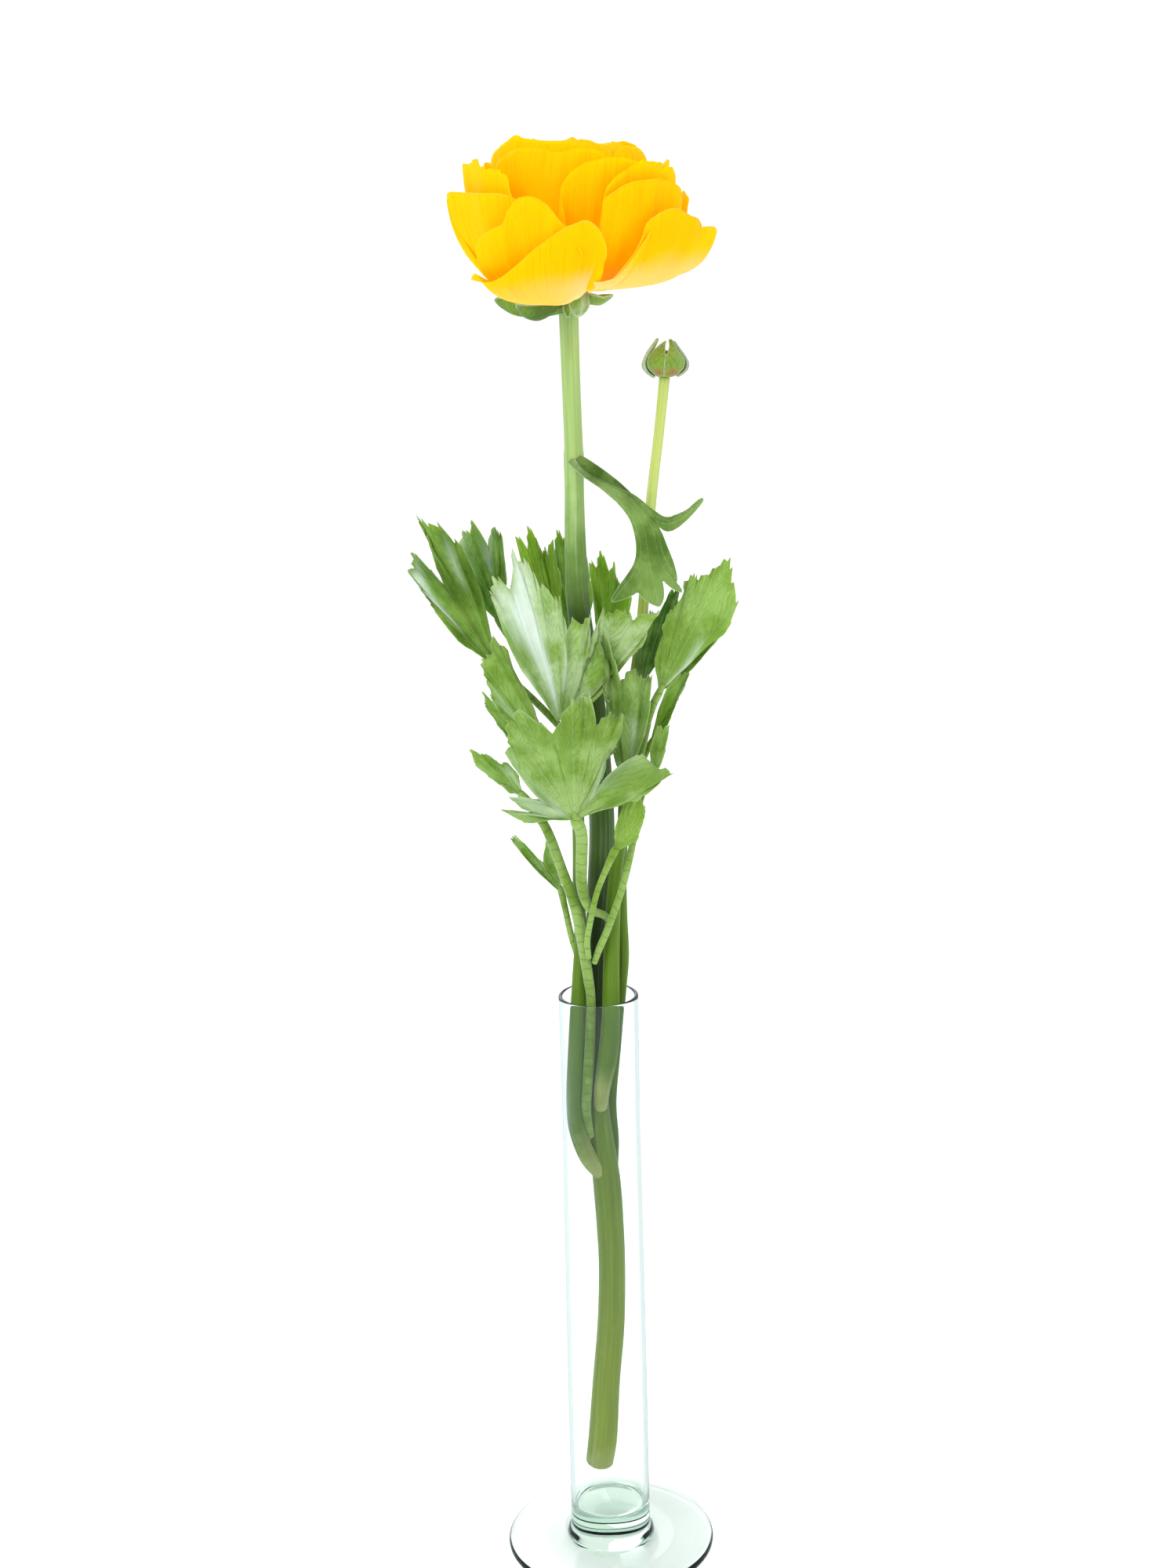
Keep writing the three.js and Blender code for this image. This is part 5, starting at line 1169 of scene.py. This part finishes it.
def vase_profile(height, rim_radius, neck_radius, neck_height, low_radius, low_height, wall, floor,
                 floor_corner, floor_dome, underside, foot_radius, foot_edge, foot_top, joint):
    """The glass's profile from the middle of its underside out over the foot, up the outside, over the
    rounded rim and down the bore to the middle of its domed floor. The tube narrows evenly to its neck.
    Close rings beside each rounded corner keep the long walls straight."""
    edge = foot_edge / 2
    bore = low_radius - wall
    near_rim = height - 1.4
    heights = np.linspace(low_height, neck_height, 5)
    slope = (low_radius - neck_radius) / (neck_height - low_height)
    outside = [(low_radius - slope * (h - low_height), h) for h in heights]
    dome = np.linspace(1, 0, 9) * (bore - floor_corner)
    return np.concatenate([
        [(radius, 0) for radius in underside],
        rounded_corner(foot_radius - edge, edge, edge, -90, 90),
        [(radius, foot_edge + rise) for radius, rise in foot_top],
        joint,
        outside,
        [(rim_radius, near_rim - 1), (rim_radius, near_rim)],
        rounded_corner(rim_radius - wall / 2, height - wall / 2, wall / 2, 0, 180),
        [(rim_radius - wall, near_rim), (rim_radius - wall, near_rim - 1)],
        [(radius - wall, h) for radius, h in reversed(outside)],
        [(bore, floor + 4), (bore, floor + 2.4)],
        rounded_corner(bore - floor_corner, floor + floor_corner, floor_corner, 0, -80),
        np.stack([dome, floor + floor_dome * (1 - (dome / bore) ** 2)], -1),
    ])


class MESH_OT_ranunculus_vase(bpy.types.Operator):
    """Builds the glass tube vase with its round foot"""
    bl_idname = "mesh.ranunculus_vase"
    bl_label = "Vase"

    def execute(self, context):
        settings = context.scene.ranunculus_vase
        make_piece("glass_vase", [turned(vase_profile(**VASE), settings.sides)], glass_material(settings),
                   ["vase"])
        return {"FINISHED"}


class MESH_OT_ranunculus_stems(bpy.types.Operator):
    """Builds the flower stem, the side shoots and the bud's stalk, with fine hairs near the bloom"""
    bl_idname = "mesh.ranunculus_stems"
    bl_label = "Stems"

    def execute(self, context):
        look = context.scene.ranunculus_stem
        stem = stem_material("ranunculus stem", [
            (0.0, (0.42, 0.46, 0.13)), (0.025, look.low), (0.22, (0.19, 0.28, 0.01)),
            (0.31, (0.14, 0.23, 0.01)), (0.4, look.middle), (0.46, look.middle), (0.54, (0.08, 0.15, 0.022)),
            (0.66, (0.07, 0.13, 0.02)), (0.72, (0.06, 0.11, 0.012)), (0.765, (0.17, 0.3, 0.06)),
            (0.81, look.high), (1.0, look.high)], look.line, look.fuzz)
        shoot = stem_material("ranunculus shoot", [
            (0.0, (0.42, 0.46, 0.15)), (0.05, look.shoot), (0.2, look.shoot), (0.3, (0.2, 0.33, 0.06))],
            look.line, look.shoot_fuzz)
        stalk = stem_material("ranunculus bud stalk", [
            (0.0, look.shoot), (0.3, look.shoot), (0.45, (0.3, 0.4, 0.06)), (0.55, look.stalk)],
            look.line, look.fuzz)
        main = tube(STEM, sides=48, steps=10, ridges=0.012)

        def near_bloom(middles):
            """A weight that rises by a smooth step between two heights, from a little to much."""
            return smoothstep(340, 396, middles[:, 2]) + 0.15

        count, reach, root_radius, place_seed, bend_seed = HAIRS["stem"]
        points, out = spread_over(main, count, place_seed, near_bloom)
        # The minus turns these hairs into the stem, and only their roots show. A plus would stand them on it.
        fuzz = hairs(points, -out, reach, root_radius, bend_seed)
        make_piece("stem_main", [main, fuzz], stem, ["flower_stem"])
        left = tube(LEFT_SHOOT, sides=32, steps=10, ridges=0.02)
        right = tube(RIGHT_SHOOT, sides=32, steps=10, ridges=0.02)
        thin = tube(BUD_STALK, sides=28, steps=10, ridges=0.015)
        make_piece("stem_left_shoot", [left], shoot, ["left_shoot"])
        make_piece("stem_right_shoot", [right], shoot, ["right_shoot"])
        make_piece("stalk_of_bud", [thin], stalk, ["bud_stalk"])
        return {"FINISHED"}


class MESH_OT_ranunculus_leaves(bpy.types.Operator):
    """Builds the lobed and toothed leaves with their stalks"""
    bl_idname = "mesh.ranunculus_leaves"
    bl_label = "Leaves"

    def execute(self, context):
        settings = context.scene.ranunculus_leaf
        material = leaf_material(settings)
        thickness = settings.thickness / MM
        for name, given in LEAVES.items():
            leaf = {**PLAIN_LEAF, **given}
            stalks = [leaf_stalk(leaf)] if leaf["stalk"] else []
            make_piece("fine_" + name, [leaf_blade(leaf, thickness), *stalks], material, [name])
        thickness = thickness + UPPER_THICKER
        upper = ribbed_sheet(
            UPPER_RIBS, UPPER_NOTCHES, thickness, columns=120, rows=70, look=UPPER_LOOK)
        wall = ribbed_sheet(
            [UPPER_KEEL, UPPER_EDGE], [1.0], thickness, columns=14, rows=40, look=UPPER_WALL_LOOK)
        make_piece("fine_leaf_upper", [upper, wall], material, ["leaf_upper"])
        return {"FINISHED"}


class MESH_OT_ranunculus_calyx(bpy.types.Operator):
    """Builds the receptacle and the hairy sepals under the bloom"""
    bl_idname = "mesh.ranunculus_calyx"
    bl_label = "Calyx"

    def execute(self, context):
        receptacle = leaf_marks(ball(**RECEPTACLE), **RECEPTACLE_LOOK)
        shapes = with_hairs([*sepals_of(SEPALS, SEPAL_THICKNESS, 0.0), receptacle], "calyx")
        make_piece("calyx_sepals", shapes, bpy.data.materials["ranunculus leaf"], ["calyx"])
        return {"FINISHED"}


class MESH_OT_ranunculus_bud(bpy.types.Operator):
    """Builds the closed bud in its hairy sepals"""
    bl_idname = "mesh.ranunculus_bud"
    bl_label = "Bud"

    def execute(self, context):
        core = leaf_marks(ball(**BUD_CORE), **BUD_CORE_LOOK)
        shapes = with_hairs(sepals_of(BUD_SEPALS, BUD_SEPAL_THICKNESS, BUD_BLUSH), "bud")
        make_piece("closed_bud", [core, *shapes], bpy.data.materials["ranunculus leaf"], ["bud"])
        return {"FINISHED"}


class MESH_OT_ranunculus_bloom(bpy.types.Operator):
    """Builds the bloom: the outer petals and those of its closed middle"""
    bl_idname = "mesh.ranunculus_bloom"
    bl_label = "Bloom"

    def execute(self, context):
        settings = context.scene.ranunculus_bloom
        material = petal_material(settings)
        thickness = settings.thickness / MM
        outer = [petal_sheet(**petal, thickness=thickness, seed=n)
                 for n, petal in enumerate(FRONT_PETALS.values())]
        inner = []
        for n, (azimuth, half, top, fall, radius, belly, low, high, root, pale) in enumerate(ROUND_PETALS):
            near, far = ROUND_BENDS["pale" if pale else "plain"]
            petal = petal_sheet(
                round_rim(azimuth, half, top, fall, radius), belly, low, high, near, root, ROUND_TEETH,
                thickness, FIRST_ROUND_SEED + n, far=far, ease=ROUND_EASE, pale=pale)
            (outer if pale else inner).append(petal)
        make_piece("bloom_outer_petals", outer, material, ["bloom"])
        make_piece("bloom_inner_petals", inner, material, ["bloom"])
        return {"FINISHED"}


def mirrored_once(tree):
    """1 for light rays that the glass has mirrored, and 0 for the others."""
    depth = wire(tree, "ShaderNodeLightPath").outputs["Glossy Depth"]
    return math_node(tree, "MINIMUM", depth, 1.0)


def white_floor(settings):
    """A round floor that glows a little, and darker where the glass mirrors it."""
    mesh = bpy.data.meshes.new("floor")
    angle = round_turn(64)
    ring = np.stack([np.cos(angle), np.sin(angle), 0 * angle], -1) * settings.floor_radius
    mesh.from_pydata(ring, [], [list(range(64))])
    paint, tree = blank_material("white floor")
    mirrored = mirrored_once(tree)
    finish_material(tree, Base_Color=mix_colours(tree, mirrored, settings.floor, settings.mirrored),
                    Roughness=0.7, Emission_Color=(1, 1, 1, 1),
                    Emission_Strength=scaled(tree, mirrored, -0.1, 0.28))
    mesh.materials.append(paint)
    floor = bpy.data.objects.new("floor", mesh)
    floor.location.z = -FLOOR_GAP
    return floor


def white_room(settings):
    """A white world: brighter behind the flower than in front of it, a little darker where the glass
    mirrors it, blue at its sides, and plain white where the camera sees it."""
    world = bpy.data.worlds.new("white room")
    world.use_nodes = True
    tree = world.node_tree
    direction = parts_of(tree, place_on(tree, "Generated"))
    strength = scaled(tree, step_between(tree, direction["Y"], -0.5, 0.6), 0.28, 0.8)
    strength = times(tree, strength, scaled(tree, mirrored_once(tree), -0.1, 1.0))
    seen = wire(tree, "ShaderNodeLightPath").outputs["Is Camera Ray"]
    strength = math_node(tree, "MAXIMUM", strength, times(tree, seen, 1.08))
    aside = step_between(tree, math_node(tree, "ABSOLUTE", direction["X"]), 0.35, 0.8)
    aside = math_node(tree, "SUBTRACT", aside, seen, clamp=True)
    background = tree.nodes["Background"].inputs
    tree.links.new(strength, background["Strength"])
    tree.links.new(mix_colours(tree, aside, (1, 1, 1), settings.aside), background["Color"])
    return world


class SCENE_OT_ranunculus_stage(bpy.types.Operator):
    """Sets the floor, the studio light and the camera"""
    bl_idname = "scene.ranunculus_stage"
    bl_label = "Stage"

    def execute(self, context):
        settings = context.scene.ranunculus_stage
        scene = context.scene
        camera_data = bpy.data.cameras.new("camera")
        camera_data.sensor_fit = "VERTICAL"
        camera_data.sensor_height = CAMERA["sensor"]
        camera_data.lens = CAMERA["lens"]
        camera = bpy.data.objects.new("camera", camera_data)
        scene.collection.objects.link(camera)
        camera.location = [MM * value for value in CAMERA["place"]]
        upright = Matrix.Rotation(math.pi / 2 - math.radians(CAMERA["pitch"]), 4, "X")
        turn = upright @ Matrix.Rotation(-math.radians(CAMERA["roll"]), 4, "Z")
        camera.rotation_euler = turn.to_euler()
        scene.camera = camera

        floor = white_floor(settings)
        scene.collection.objects.link(floor)
        scene.world = white_room(settings)
        for name, (place, aim, size, power) in LAMPS.items():
            lamp_data = bpy.data.lights.new(name, "AREA")
            lamp_data.size = size
            lamp_data.energy = power
            lamp = bpy.data.objects.new(name, lamp_data)
            scene.collection.objects.link(lamp)
            lamp.location = place
            lamp.rotation_euler = (Vector(aim) - Vector(place)).to_track_quat("-Z", "Y").to_euler()
        scene.view_settings.view_transform = "Standard"
        return {"FINISHED"}


class VIEW3D_PT_ranunculus(bpy.types.Panel):
    """Lists the operators and their settings"""
    bl_label = "Ranunculus"
    bl_idname = "VIEW3D_PT_ranunculus"
    bl_space_type = "VIEW_3D"
    bl_region_type = "UI"
    bl_category = "Ranunculus"

    def draw(self, context):
        for operator in OPERATORS:
            self.layout.operator(operator.bl_idname)
        for name in SETTINGS:
            group = getattr(context.scene, name)
            for key in group.__annotations__:
                self.layout.prop(group, key)


SETTINGS = {
    "ranunculus_bloom": RanunculusBloomSettings,
    "ranunculus_leaf": RanunculusLeafSettings,
    "ranunculus_stem": RanunculusStemSettings,
    "ranunculus_vase": RanunculusVaseSettings,
    "ranunculus_stage": RanunculusStageSettings,
}
OPERATORS = [
    MESH_OT_ranunculus_vase,
    MESH_OT_ranunculus_stems,
    MESH_OT_ranunculus_leaves,
    MESH_OT_ranunculus_calyx,
    MESH_OT_ranunculus_bud,
    MESH_OT_ranunculus_bloom,
    SCENE_OT_ranunculus_stage,
]
CLASSES = [*SETTINGS.values(), *OPERATORS, VIEW3D_PT_ranunculus]


def register():
    for cls in CLASSES:
        bpy.utils.register_class(cls)
    for name, cls in SETTINGS.items():
        setattr(bpy.types.Scene, name, bpy.props.PointerProperty(type=cls))


def unregister():
    for name in SETTINGS:
        delattr(bpy.types.Scene, name)
    for cls in reversed(CLASSES):
        bpy.utils.unregister_class(cls)


def main():
    register()
    bpy.ops.mesh.ranunculus_vase()
    bpy.ops.mesh.ranunculus_stems()
    bpy.ops.mesh.ranunculus_leaves()
    bpy.ops.mesh.ranunculus_calyx()
    bpy.ops.mesh.ranunculus_bud()
    bpy.ops.mesh.ranunculus_bloom()
    bpy.ops.scene.ranunculus_stage()
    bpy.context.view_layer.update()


if __name__ == "__main__":
    main()
